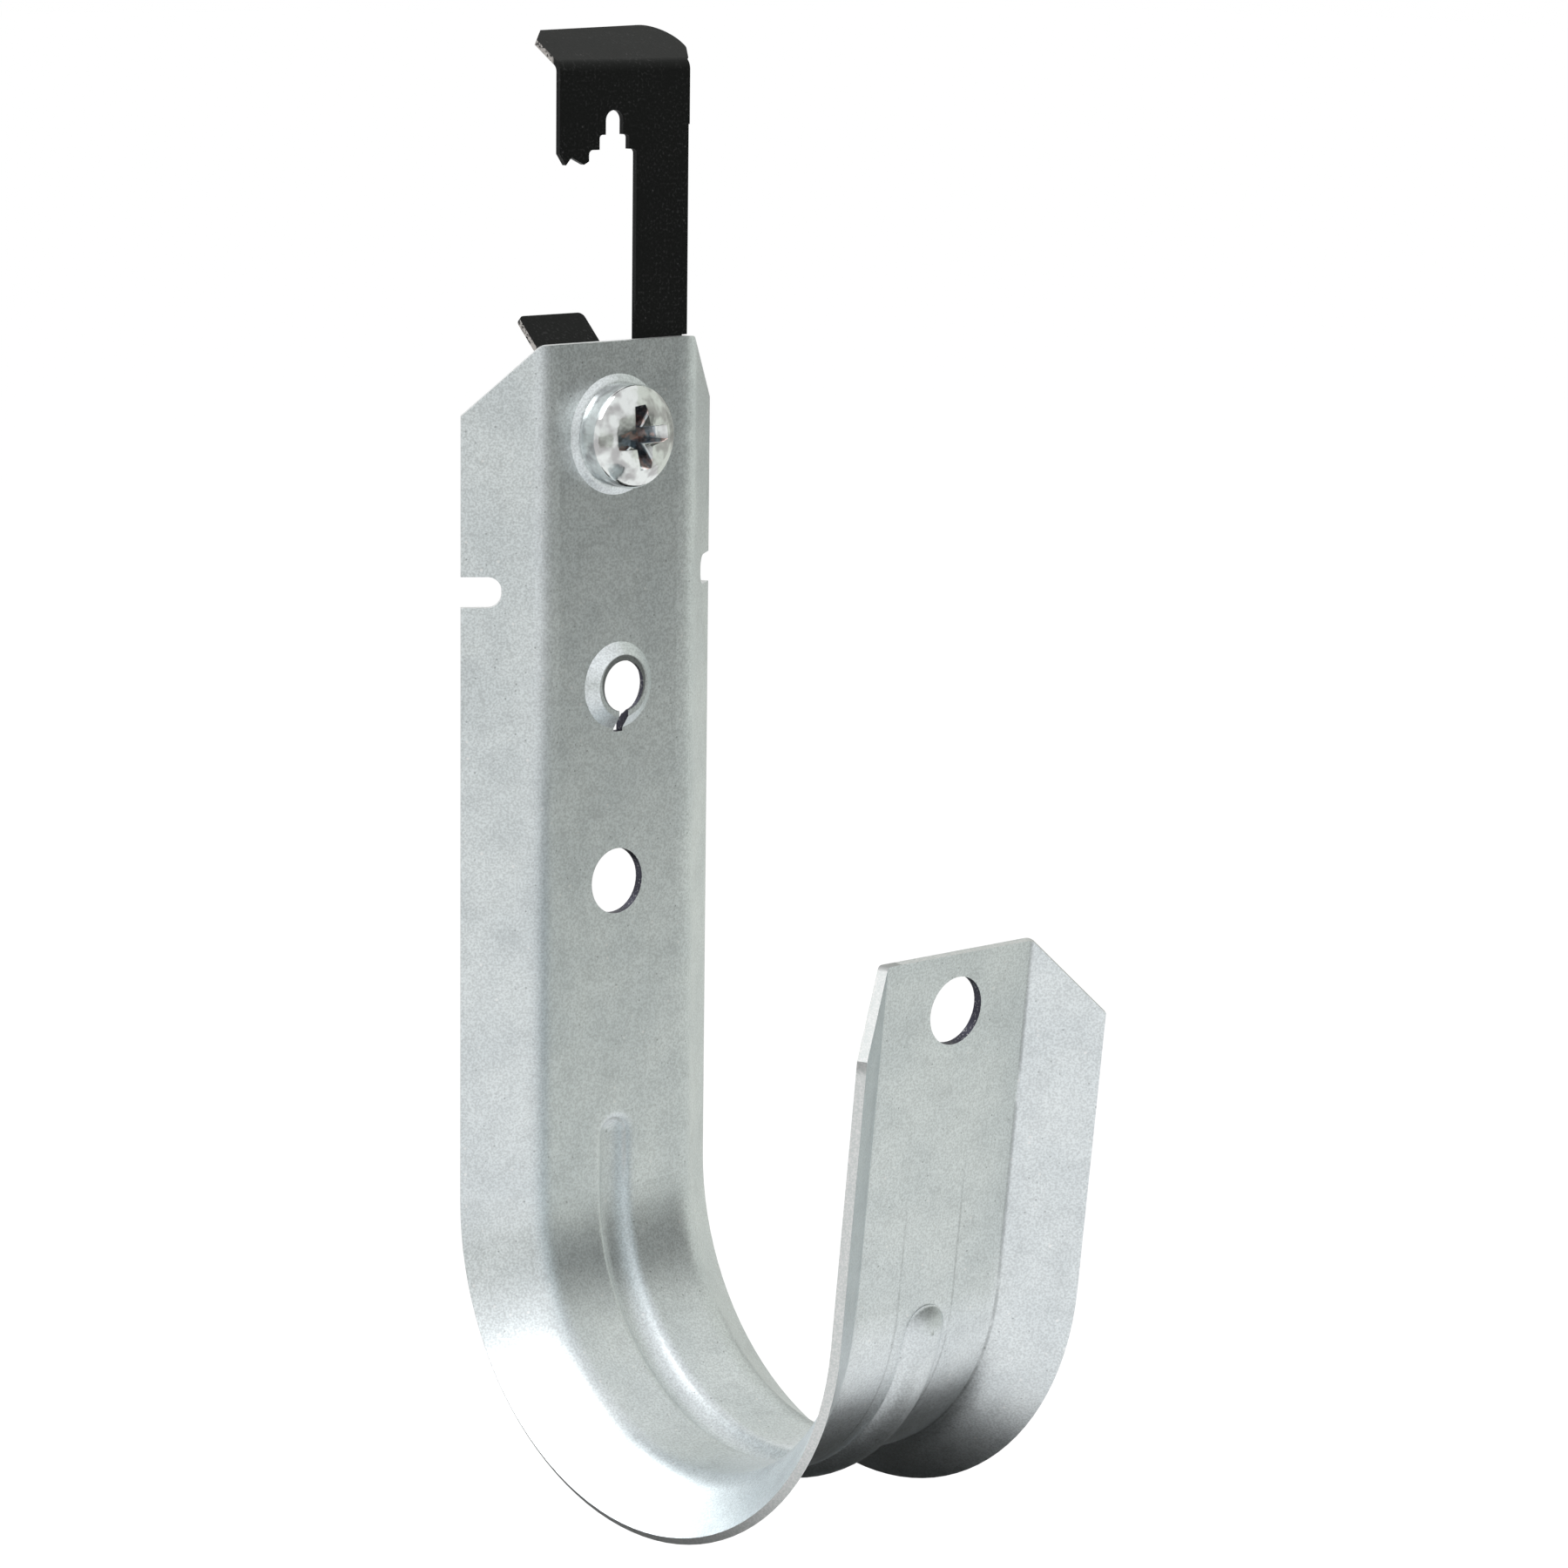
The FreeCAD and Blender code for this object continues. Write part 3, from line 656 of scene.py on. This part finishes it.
    def lip(self, nodes: NodeTree, places: SheetPlaces) -> Socket:
        """Find the front of the formed thread's lip, where a ring of painted shade goes.

        Args:
            nodes: The material's tree.
            places: Where the point is.

        Returns:
            1 on the lip's front.
        """
        off = places.away(nodes, self.thread_height)
        near = nodes.step(off, self.lip_reach, self.lip_reach - self.lip_edge)
        return nodes.product(near, nodes.math("LESS_THAN", places.depth, self.lip_face))

    def tool_marks(self, nodes: NodeTree, places: SheetPlaces, outer: Socket) -> Socket:
        """Draw the darker lines on the leg's outer face, broken here and there.

        Args:
            nodes: The material's tree.
            places: Where the point is.
            outer: 1 on the sheet's outer face.

        Returns:
            How dark the lines are.
        """
        noise = nodes.noise(nodes.coordinates("Object"), 1.0 / self.mark_break, self.mark_break_detail)
        total: object = 0.0
        for mark in self.marks:
            total = nodes.math("ADD", total, mark.draw(nodes, places))
        return nodes.product(total, nodes.step(noise, *self.mark_break_span), outer, places.on_leg)

    def eased_facing(self, nodes: NodeTree, places: SheetPlaces, edge: Socket) -> Socket:
        """Ease the way that the sheet faces over its folds, except high on the leg, and on the bead.

        Args:
            nodes: The material's tree.
            places: Where the point is.
            edge: 1 on sheared edges, which keep their own facing.

        Returns:
            The facing.
        """
        facing = nodes.coordinates("Normal")
        which_face = nodes.math("SIGN", nodes.vector("DOT_PRODUCT", facing, places.direction))
        off_centre = nodes.math("ABSOLUTE", places.side)
        turn = nodes.product(nodes.step(off_centre, self.fold_start, self.fold_end), self.flare)
        inward = nodes.product(nodes.math("SIGN", places.side), nodes.math("SINE", turn), -1.0)
        upright = nodes.scaled(places.direction, nodes.math("COSINE", turn))
        folded = nodes.scaled(nodes.vector("ADD", upright, nodes.combine(inward, 0.0, 0.0)), which_face)
        past_start = nodes.math("GREATER_THAN", off_centre, self.fold_start)
        before_end = nodes.math("LESS_THAN", off_centre, self.fold_end)
        on_face = nodes.math("LESS_THAN", edge, self.edge_limit)
        up_leg = nodes.product(places.on_leg, nodes.step(places.height, *self.leg_start))
        on_fold = nodes.product(past_start, before_end, on_face, nodes.without(up_leg))
        eased = nodes.mix(on_fold, facing, folded)
        near = nodes.step(off_centre, self.bead_reach, self.bead_side_start * self.bead_reach)
        low = nodes.step(places.height, self.bead_top, self.bead_top_start * self.bead_top)
        on_bead = nodes.product(near, low, self.bead_ease)
        eased = nodes.mix(on_bead, eased, nodes.scaled(places.direction, which_face))
        return nodes.vector("NORMALIZE", eased)

    def coated(
        self, nodes: NodeTree, groups: Groups, places: SheetPlaces, grain: GrainMasks, outer: Socket
    ) -> Socket:
        """The zinc coat, with its grain, pits, stains and marks, and a ring of painted shade at the
        thread's lip.

        Args:
            nodes: The material's tree.
            groups: The shared node groups.
            places: Where the point is.
            grain: The sheet's grain.
            outer: 1 on the sheet's outer face.

        Returns:
            The coat's colour.
        """
        skin = nodes.tint(self.zinc, self.speck_shades.lay(nodes, grain.specks))
        skin = nodes.tint(skin, self.cloud_shades.lay(nodes, grain.clouds))
        skin = nodes.mix(nodes.product(grain.flecks, self.fleck_share), skin, self.fleck_tone)
        pits = self.pits.lay(nodes, groups.grain)
        skin = nodes.tint(skin, self.pit_tone, nodes.product(pits.flecks, self.pit_share))
        skin = nodes.tint(skin, self.stain_tone, nodes.step(pits.clouds, *self.stain_span))
        # Painted shade: a dark ring at the front of the thread's lip.
        skin = nodes.tint(skin, self.lip_shade_tone, nodes.product(self.lip(nodes, places), self.lip_shade_share))
        return nodes.tint(skin, self.mark_tone, self.tool_marks(nodes, places, outer))

    def bare(self, nodes: NodeTree, places: SheetPlaces, specks: Socket) -> Socket:
        """The bare steel where the sheet was sheared, with painted shade on the leg's upper left cut edge
        and in the holes' walls.

        Args:
            nodes: The material's tree.
            places: Where the point is.
            specks: The grain's specks.

        Returns:
            The steel's colour.
        """
        # Painted shade on the leg's upper left cut edge, where the lamp lights it.
        high = nodes.product(places.on_leg, nodes.step(places.height, *self.cut_shade_heights))
        left = nodes.math("LESS_THAN", places.side, -self.fold_start)
        torn = nodes.tint(self.sheared_shades.lay(nodes, specks), self.cut_shade_tone, nodes.product(high, left))
        # Painted shade in the holes' walls.
        return nodes.mix(self.hole_shade_mask(nodes, places), torn, self.hole_wall_shade.lay(nodes, specks))

    def make(self, groups: Groups) -> bpy.types.Material:
        """Build the material.

        Args:
            groups: The shared node groups.

        Returns:
            The material.
        """
        material, nodes, shader = new_material("galvanised_sheet")
        places = self.find(nodes)
        sheared = nodes.group(groups.sheared, Sheet=places.direction)
        near_bead = nodes.math("LESS_THAN", nodes.math("ABSOLUTE", places.side), self.bead_half)
        edge = nodes.product(sheared["Mask"], nodes.without(nodes.product(near_bead, places.in_loop)))
        grain = self.grain.lay(nodes, groups.grain)
        skin = self.coated(nodes, groups, places, grain, sheared["Outer"])
        bare = self.bare(nodes, places, grain.specks)
        nodes.join(nodes.mix(edge, skin, bare), shader.inputs["Base Color"])
        rough = nodes.vary(self.roughness, grain.specks, self.speck_roughness)
        rough = nodes.math("ADD", rough, nodes.product(edge, self.edge_roughness))
        nodes.join(rough, shader.inputs["Roughness"])
        facing = self.relief.lay(nodes, grain.specks, self.eased_facing(nodes, places, edge))
        nodes.join(facing, shader.inputs["Normal"])
        shader.inputs["Metallic"].default_value = 1.0
        return material


@dataclass(frozen=True)
class BlackSpring:
    """Blackened spring steel with a faint speckle, and bare steel on the upper left-facing sheared sides of
    the wing and the tab: real bare steel, laid only where the light glints, so partly a painted highlight.
    """

    base: Colour = (0.0035, 0.004, 0.0038, 1.0)
    grain: Grain = Grain(0.3 * MM, 5.0 * MM, 0.9 * MM)
    dust: Colour = (0.045, 0.045, 0.046, 1.0)
    dust_specks: Span = (0.52, 0.72)
    dust_clouds: Span = (0.25, 0.6)
    dust_share: float = 0.45
    fleck_share: float = 0.8
    # Bare steel, laid as a painted glint on the upper left-facing sheared sides.
    bare: Colour = (0.42, 0.40, 0.38, 1.0)
    glint_from: float = 56.0 * MM
    glint_depth: Span = (0.9 * MM, 1.4 * MM)
    glint_facing: Span = (-0.85, -0.95)
    glint_specks: Span = (0.35, 0.55)
    shine: float = 0.12
    roughness: float = 0.42
    speck_roughness: float = 0.2
    relief: Relief = Relief(0.15, 0.05 * MM)

    def glinting_sides(self, nodes: NodeTree, specks: Socket) -> Socket:
        """Find the left-facing sheared side of the wing or the tab, high up, where bare steel is laid as a
        painted glint.

        Args:
            nodes: The material's tree.
            specks: The grain's specks.

        Returns:
            1 on the painted glint of bare steel.
        """
        place = nodes.split(nodes.coordinates("Object"))
        facing = nodes.split(nodes.coordinates("Normal"))["X"]
        side = nodes.step(facing, *self.glint_facing)
        folded = nodes.step(place["Y"], *self.glint_depth)
        high = nodes.math("GREATER_THAN", place["Z"], self.glint_from)
        return nodes.product(side, folded, high, nodes.step(specks, *self.glint_specks))

    def make(self, groups: Groups) -> bpy.types.Material:
        """Build the material.

        Args:
            groups: The shared node groups.

        Returns:
            The material.
        """
        material, nodes, shader = new_material("black_spring")
        grain = self.grain.lay(nodes, groups.grain)
        specked = nodes.step(grain.specks, *self.dust_specks)
        dusty = nodes.product(specked, nodes.step(grain.clouds, *self.dust_clouds), self.dust_share)
        dusty = nodes.math("MAXIMUM", dusty, nodes.product(grain.flecks, self.fleck_share))
        # Painted glint: bare metallic steel on the left-facing cut sides, where the light catches them.
        glint_mask = self.glinting_sides(nodes, grain.specks)
        skin = nodes.mix(dusty, self.base, self.dust)
        nodes.join(nodes.mix(glint_mask, skin, self.bare), shader.inputs["Base Color"])
        nodes.join(glint_mask, shader.inputs["Metallic"])
        rough = nodes.vary(self.roughness, grain.specks, self.speck_roughness)
        nodes.join(rough, shader.inputs["Roughness"])
        shader.inputs["Specular IOR Level"].default_value = self.shine
        nodes.join(self.relief.lay(nodes, grain.specks), shader.inputs["Normal"])
        return material


@dataclass(frozen=True)
class BrightZinc:
    """Bright zinc plate, nearly a mirror, with painted shade and warm painted glints inside the cross
    recess.

    The dome faces away from a centre that is dome_reach behind the head. An arm of the recess is whole
    up to the arm_core part of its half width, and ends at that half width.
    """

    axis: Span = SCREW_AXIS
    head_back: float = -2.0 * MM
    dome_reach: float = 9.0 * MM
    recess_reach: float = 3.5 * MM
    recess_turn: float = math.radians(7.0)
    recess_face: float = -4.2 * MM
    recess_edge: float = 0.2 * MM
    arm_half: float = 1.0 * MM
    arm_core: float = 0.8
    wall_facing: Span = (0.5, 0.4)
    grain: Grain = Grain(0.35 * MM, 1.8 * MM, 0.8 * MM)
    plate_shades: Shades = Shades((0.72, 0.75, 0.74, 1.0), grey(0.42), (0.42, 0.66))
    fleck_tone: Colour = grey(0.22)
    fleck_share: float = 0.7
    # Painted shade inside the recess, blotched with warm painted glints.
    recess_shade_and_glints: Shades = Shades((0.34, 0.38, 0.41, 1.0), (0.66, 0.50, 0.46, 1.0), (0.54, 0.62))
    roughness: float = 0.16
    speck_roughness: float = 0.12
    relief: Relief = Relief(0.5, 0.16 * MM)

    def recess(self, nodes: NodeTree) -> tuple[Socket, Socket]:
        """Find the cross recess, and carry the facing of the head's dome on to its arms.

        Args:
            nodes: The material's tree.

        Returns:
            1 on the walls and floor of the recess's arms, where painted shade goes, and the facing.
        """
        place = nodes.split(nodes.coordinates("Object"))
        normal = nodes.coordinates("Normal")
        side, height = self.axis
        across = nodes.math("SUBTRACT", place["X"], side)
        rise = nodes.math("SUBTRACT", place["Z"], height)
        near = nodes.math("LESS_THAN", nodes.off_axis(across, rise), self.recess_reach)
        near = nodes.product(near, nodes.math("LESS_THAN", place["Y"], self.head_back))
        in_arm: object = 0.0
        for turn in (self.recess_turn, self.recess_turn + math.pi / 2):
            off = nodes.product(across, math.cos(turn))
            off = nodes.math("ADD", off, nodes.product(rise, math.sin(turn)))
            arm = nodes.step(nodes.math("ABSOLUTE", off), self.arm_half, self.arm_core * self.arm_half)
            in_arm = nodes.math("MAXIMUM", in_arm, arm)
        below = nodes.step(place["Y"], self.recess_face, self.recess_face + self.recess_edge)
        upright = nodes.step(nodes.math("ABSOLUTE", nodes.split(normal)["Y"]), *self.wall_facing)
        inside = nodes.product(nodes.math("MAXIMUM", below, upright), in_arm, near)
        dome = nodes.vector("NORMALIZE", nodes.combine(across, -self.dome_reach, rise))
        facing = nodes.mix(nodes.product(near, nodes.without(in_arm)), normal, dome)
        return inside, nodes.vector("NORMALIZE", facing)

    def make(self, groups: Groups) -> bpy.types.Material:
        """Build the material.

        Args:
            groups: The shared node groups.

        Returns:
            The material.
        """
        material, nodes, shader = new_material("bright_zinc")
        grain = self.grain.lay(nodes, groups.grain)
        plate = self.plate_shades.lay(nodes, grain.clouds)
        plate = nodes.mix(nodes.product(grain.flecks, self.fleck_share), plate, self.fleck_tone)
        recess_shade_mask, facing = self.recess(nodes)
        # Painted shade and warm painted glints in the recess's arms.
        skin = nodes.mix(recess_shade_mask, plate, self.recess_shade_and_glints.lay(nodes, grain.clouds))
        nodes.join(skin, shader.inputs["Base Color"])
        rough = nodes.vary(self.roughness, grain.specks, self.speck_roughness)
        nodes.join(rough, shader.inputs["Roughness"])
        nodes.join(self.relief.lay(nodes, grain.clouds, facing), shader.inputs["Normal"])
        shader.inputs["Metallic"].default_value = 1.0
        return material


def dress(piece: Piece, material: bpy.types.Material) -> None:
    """Give a CAD node its material.

    Args:
        piece: The node.
        material: The material.
    """
    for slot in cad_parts[piece.value].material_slots:
        slot.material = material
    LOG.info("%s dressed in %s", piece.value, material.name)


@dataclass
class Hook:
    """The pressed hook."""

    finish: GalvanisedSheet = field(default_factory=GalvanisedSheet)

    def build(self, groups: Groups) -> None:
        """Dress the hook's node."""
        dress(Piece.HOOK, self.finish.make(groups))


@dataclass
class Clip:
    """The spring clip behind the strap."""

    finish: BlackSpring = field(default_factory=BlackSpring)

    def build(self, groups: Groups) -> None:
        """Dress the clip's node."""
        dress(Piece.CLIP, self.finish.make(groups))


def new_object(name: str, data: bpy.types.ID) -> bpy.types.Object:
    """A new object in the scene, at the origin.

    Args:
        name: The object's name.
        data: Its mesh, light or camera.

    Returns:
        The object.
    """
    item = bpy.data.objects.new(name, data)
    bpy.context.scene.collection.objects.link(item)
    return item


@dataclass(frozen=True)
class ThreadTree:
    """The Geometry Nodes tree that winds a screw's thread round its shaft.

    The ridge grows and shrinks over the run_in and run_out parts of its length.
    """

    steps: int = 40
    ridge_corners: int = 4
    run_in: Span = (0.0, 0.06)
    run_out: Span = (1.0, 0.9)

    def build(self, material: bpy.types.Material, sizes: dict[str, float]) -> Tree:
        """Build the tree.

        Args:
            material: What the thread is made of.
            sizes: The Root Radius, Ridge, Pitch and Length.

        Returns:
            The tree. It winds a ridge about Z from the origin up, and lays it along Y.
        """
        outputs = {"Geometry": Kind.SHAPE}
        nodes, given, result = new_group("wound_thread", sizes, outputs, "GeometryNodeTree")
        coil = nodes.add("GeometryNodeCurveSpiral")
        coil.inputs["Resolution"].default_value = self.steps
        nodes.join(nodes.math("DIVIDE", given["Length"], given["Pitch"]), coil.inputs["Rotations"])
        nodes.join(given["Root Radius"], coil.inputs["Start Radius"])
        nodes.join(given["Root Radius"], coil.inputs["End Radius"])
        nodes.join(given["Length"], coil.inputs["Height"])
        level = nodes.add("GeometryNodeSetCurveNormal", mode="Z_UP")
        nodes.join(coil.outputs["Curve"], level.inputs["Curve"])
        along = nodes.add("GeometryNodeSplineParameter").outputs["Factor"]
        ridge = nodes.add("GeometryNodeCurvePrimitiveCircle", mode="RADIUS")
        ridge.inputs["Resolution"].default_value = self.ridge_corners
        nodes.join(given["Ridge"], ridge.inputs["Radius"])
        swept = nodes.add("GeometryNodeCurveToMesh")
        nodes.join(level.outputs["Curve"], swept.inputs["Curve"])
        nodes.join(ridge.outputs["Curve"], swept.inputs["Profile Curve"])
        taper = nodes.product(nodes.step(along, *self.run_in), nodes.step(along, *self.run_out))
        nodes.join(taper, swept.inputs["Scale"])
        swept.inputs["Fill Caps"].default_value = True
        laid = nodes.add("GeometryNodeTransform")
        laid.inputs["Rotation"].default_value = (-math.pi / 2, 0.0, 0.0)
        nodes.join(swept.outputs["Mesh"], laid.inputs["Geometry"])
        real = nodes.add("GeometryNodeRealizeInstances")
        nodes.join(laid.outputs["Geometry"], real.inputs["Geometry"])
        painted = nodes.add("GeometryNodeSetMaterial")
        painted.inputs["Material"].default_value = material
        nodes.join(real.outputs["Geometry"], painted.inputs["Geometry"])
        nodes.join(painted.outputs["Geometry"], result["Geometry"])
        return nodes.tree


def as_plain_mesh(name: str, tree: Tree, values: dict[str, float]) -> bpy.types.Object:
    """Run a Geometry Nodes tree and keep its result as a plain mesh at the origin.

    Args:
        name: The new object's name.
        tree: The tree.
        values: For each named input, its value.

    Returns:
        The object, with no modifier left on it.
    """
    maker = new_object(name + "_maker", bpy.data.meshes.new(name + "_maker"))
    modifier = maker.modifiers.new(tree.name, "NODES")
    modifier.node_group = tree
    for item in tree.interface.items_tree:
        if item.in_out == "INPUT" and item.name in values:
            modifier[item.identifier] = values[item.name]
    graph = bpy.context.evaluated_depsgraph_get()
    mesh = bpy.data.meshes.new_from_object(maker.evaluated_get(graph))
    mesh.name = name
    maker.modifiers.remove(modifier)
    bpy.data.objects.remove(maker)
    return new_object(name, mesh)


@dataclass
class Screw:
    """The screw that holds the clip. The CAD node has its head and shaft, and the thread is wound here."""

    axis: Span = SCREW_AXIS
    root_radius: float = 2.15 * MM
    ridge: float = 0.53 * MM
    pitch: float = 1.06 * MM
    thread_start: float = -1.0 * MM
    thread_end: float = 7.9 * MM
    finish: BrightZinc = field(default_factory=BrightZinc)

    def wind_thread(self, material: bpy.types.Material) -> None:
        """Wind the thread round the shaft.

        Args:
            material: The screw's material.
        """
        sizes = {
            "Root Radius": self.root_radius,
            "Ridge": self.ridge,
            "Pitch": self.pitch,
            "Length": self.thread_end - self.thread_start,
        }
        side, height = self.axis
        thread = as_plain_mesh("screw_thread", ThreadTree().build(material, sizes), sizes)
        thread.data.transform(Matrix.Translation((side, self.thread_start, height)))
        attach(thread, "root")
        LOG.info("%s wound in %s with %d faces", thread.name, material.name, len(thread.data.polygons))

    def build(self, groups: Groups) -> None:
        """Dress the screw's node and wind its thread.

        Args:
            groups: The shared node groups.
        """
        material = self.finish.make(groups)
        dress(Piece.SCREW, material)
        self.wind_thread(material)


@dataclass(frozen=True)
class Lamp:
    """A soft square lamp that looks at the hook."""

    name: str
    place: Triple
    size: float
    power: float

    def build(self) -> None:
        """Hang the lamp."""
        light = bpy.data.lights.new(self.name, "AREA")
        light.size = self.size
        light.energy = self.power
        lamp = new_object(self.name, light)
        lamp.location = self.place
        lamp.rotation_euler = Vector(self.place).to_track_quat("Z", "Y").to_euler()
        lamp.visible_camera = False


def flat_panel(name: str, half_width: float, half_height: float, stand: Matrix) -> bpy.types.Object:
    """A rectangle, with its place in its mesh.

    Args:
        name: The object's name.
        half_width: Half its width.
        half_height: Half its height.
        stand: What brings it to its place, from lying face up at the origin.

    Returns:
        The object.
    """
    signs = ((-1, -1), (1, -1), (1, 1), (-1, 1))
    corners = [stand @ Vector((across * half_width, along * half_height, 0.0)) for across, along in signs]
    mesh = bpy.data.meshes.new(name)
    mesh.from_pydata(corners, [], [(0, 1, 2, 3)])
    return new_object(name, mesh)


@dataclass(frozen=True)
class Card:
    """A studio card that shows only in the metal.

    Its tones are at its lower edge, its middle and its upper edge, and its cast is their red, green and
    blue as parts of the tone.
    """

    name: str
    place: Triple
    width: float
    height: float
    tones: Triple
    cast: Triple = (0.975, 1.0, 0.93)
    middle: float = 0.5

    def shade(self, nodes: NodeTree) -> Socket:
        """Blend the card's tones.

        Args:
            nodes: The card's tree.

        Returns:
            The card's colour.
        """
        rise = nodes.split(nodes.coordinates("Generated"))["Z"]
        low, middle, high = ((*(tone * part for part in self.cast), 1.0) for tone in self.tones)
        lower = nodes.mix(nodes.step(rise, 0.0, self.middle), low, middle)
        return nodes.mix(nodes.step(rise, self.middle, 1.0), lower, high)

    def build(self) -> None:
        """Stand the card up, with its face towards the hook."""
        turn = Vector(self.place).to_track_quat("Z", "Y").to_matrix().to_4x4()
        card = flat_panel(self.name, self.width / 2, self.height / 2, Matrix.Translation(self.place) @ turn)
        material, nodes, _ = new_material(self.name)
        glow = nodes.add("ShaderNodeEmission")
        nodes.join(self.shade(nodes), glow.inputs["Color"])
        nodes.surface(glow.outputs["Emission"])
        card.data.materials.append(material)
        card.visible_camera = False
        card.visible_diffuse = False
        card.visible_shadow = False
        card.visible_transmission = False


def toward(bearing: float, level: float, distance: float) -> Triple:
    """A place near the hook.

    Args:
        bearing: Degrees round the hook from straight in front, to the right.
        level: The height.
        distance: How far it is from the strap.

    Returns:
        The place.
    """
    turn = math.radians(bearing)
    return (math.sin(turn) * distance, -math.cos(turn) * distance, level)


@dataclass
class Studio:
    """The floor, the white surroundings, the lamps and the cards. Lengths are metres."""

    floor_level: float = -0.30
    floor_half: float = 12.0
    floor_tone: Colour = grey(0.85)
    floor_roughness: float = 0.9
    floor_glow: float = 1.15
    glow_share: float = 0.75
    sky: Shades = Shades(grey(0.9), grey(0.6), (-0.25, 0.45))
    lamps: tuple[Lamp, ...] = (
        Lamp("key_lamp", (-0.75, -0.25, 1.15), 1.0, 14.0),
        Lamp("back_lamp", (-0.25, 0.8, 1.0), 0.7, 4.0),
    )
    cards: tuple[Card, ...] = (
        Card("side_card", toward(88.0, 0.14, 0.55), 1.2, 0.86, (0.78, 0.78, 0.78)),
        Card("edge_card", toward(115.0, 0.05, 0.50), 0.30, 0.18, (0.50, 0.40, 0.50)),
        Card("front_card", toward(29.0, 0.055, 0.40), 0.46, 0.27, (0.30, 0.10, 0.62)),
        Card("lens_card", toward(-33.0, 0.0, 0.42), 0.24, 0.14, (0.72, 0.42, 0.78)),
        Card("low_card", (0.42, -0.42, -0.24), 0.50, 0.36, (0.82, 0.82, 0.82)),
        Card("under_card", (0.04, 0.055, -0.17), 0.30, 0.30, (0.01, 0.01, 0.01)),
    )

    def shown_white(self, nodes: NodeTree) -> Socket:
        """Tell the rays that see the surroundings from the rays that light by them.

        Args:
            nodes: The tree that asks.

        Returns:
            1 for rays from the camera, and for what metal and glass show.
        """
        path = nodes.add("ShaderNodeLightPath").outputs
        seen = nodes.math("MAXIMUM", path["Is Camera Ray"], path["Is Transmission Ray"])
        return nodes.math("MAXIMUM", seen, path["Is Glossy Ray"])

    def build_floor(self) -> None:
        """Lay the floor, which glows where it is seen but keeps the object's shadow."""
        stand = Matrix.Translation((0.0, 0.0, self.floor_level))
        floor = flat_panel("floor", self.floor_half, self.floor_half, stand)
        material, nodes, shader = new_material("pale_floor")
        shader.inputs["Base Color"].default_value = self.floor_tone
        shader.inputs["Roughness"].default_value = self.floor_roughness
        glow = nodes.add("ShaderNodeEmission")
        glow.inputs["Strength"].default_value = self.floor_glow
        blend = nodes.add("ShaderNodeMixShader")
        nodes.join(nodes.product(self.shown_white(nodes), self.glow_share), blend.inputs["Fac"])
        nodes.join(shader.outputs["BSDF"], blend.inputs[1])
        nodes.join(glow.outputs["Emission"], blend.inputs[2])
        nodes.surface(blend.outputs["Shader"])
        floor.data.materials.append(material)

    def build_sky(self) -> None:
        """Surround everything with white, and light it a little."""
        world = bpy.data.worlds.new("studio")
        world.use_nodes = True
        bpy.context.scene.world = world
        nodes = NodeTree(world.node_tree)
        around = self.sky.lay(nodes, nodes.split(nodes.coordinates("Generated"))["Z"])
        back = world.node_tree.nodes["Background"]
        nodes.join(nodes.mix(self.shown_white(nodes), around, grey(1.0)), back.inputs["Color"])

    def build(self) -> None:
        """Set up the floor, the surroundings, the lamps and the cards."""
        self.build_floor()
        self.build_sky()
        for item in (*self.lamps, *self.cards):
            item.build()
        LOG.info("studio set up with %d lamps and %d cards", len(self.lamps), len(self.cards))


@dataclass(frozen=True)
class Viewpoint:
    """Where the photograph was taken from, in metres and degrees, with the lens in millimetres."""

    azimuth: float = -42.866
    elevation: float = 10.182
    roll: float = 0.690
    distance: float = 0.54248
    across: float = 0.018035
    above: float = 0.010432
    datum: Triple = (0.0, -0.001, 0.0)
    lens: float = 115.36
    sensor: float = 36.0
    nearest: float = 0.01

    def build(self) -> None:
        """Set up the camera."""
        turn, rise, roll = (math.radians(angle) for angle in (self.azimuth, self.elevation, self.roll))
        back = Vector((math.sin(turn) * math.cos(rise), -math.cos(turn) * math.cos(rise), math.sin(rise)))
        level = Vector((math.cos(turn), math.sin(turn), 0.0))
        upright = back.cross(level)
        right = level * math.cos(roll) + upright * math.sin(roll)
        up = upright * math.cos(roll) - level * math.sin(roll)
        place = Vector(self.datum) + right * self.across + up * self.above + back * self.distance
        data = bpy.data.cameras.new("camera")
        data.sensor_width = self.sensor
        data.lens = self.lens
        data.clip_start = self.nearest
        camera = new_object("camera", data)
        camera.matrix_world = Matrix.Translation(place) @ Matrix((right, up, back)).transposed().to_4x4()
        bpy.context.scene.camera = camera


def main() -> None:
    """Dress the pieces, and set up the studio and the camera."""
    logging.basicConfig(level=logging.INFO, format="%(name)s: %(message)s")
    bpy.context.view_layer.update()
    bpy.context.scene.view_settings.view_transform = "Standard"
    groups = Groups(grain=GrainGroup().build(), sheared=ShearedGroup().build())
    for assembly in (Hook(), Clip(), Screw()):
        assembly.build(groups)
    Studio().build()
    Viewpoint().build()


if __name__ == "__main__":
    main()
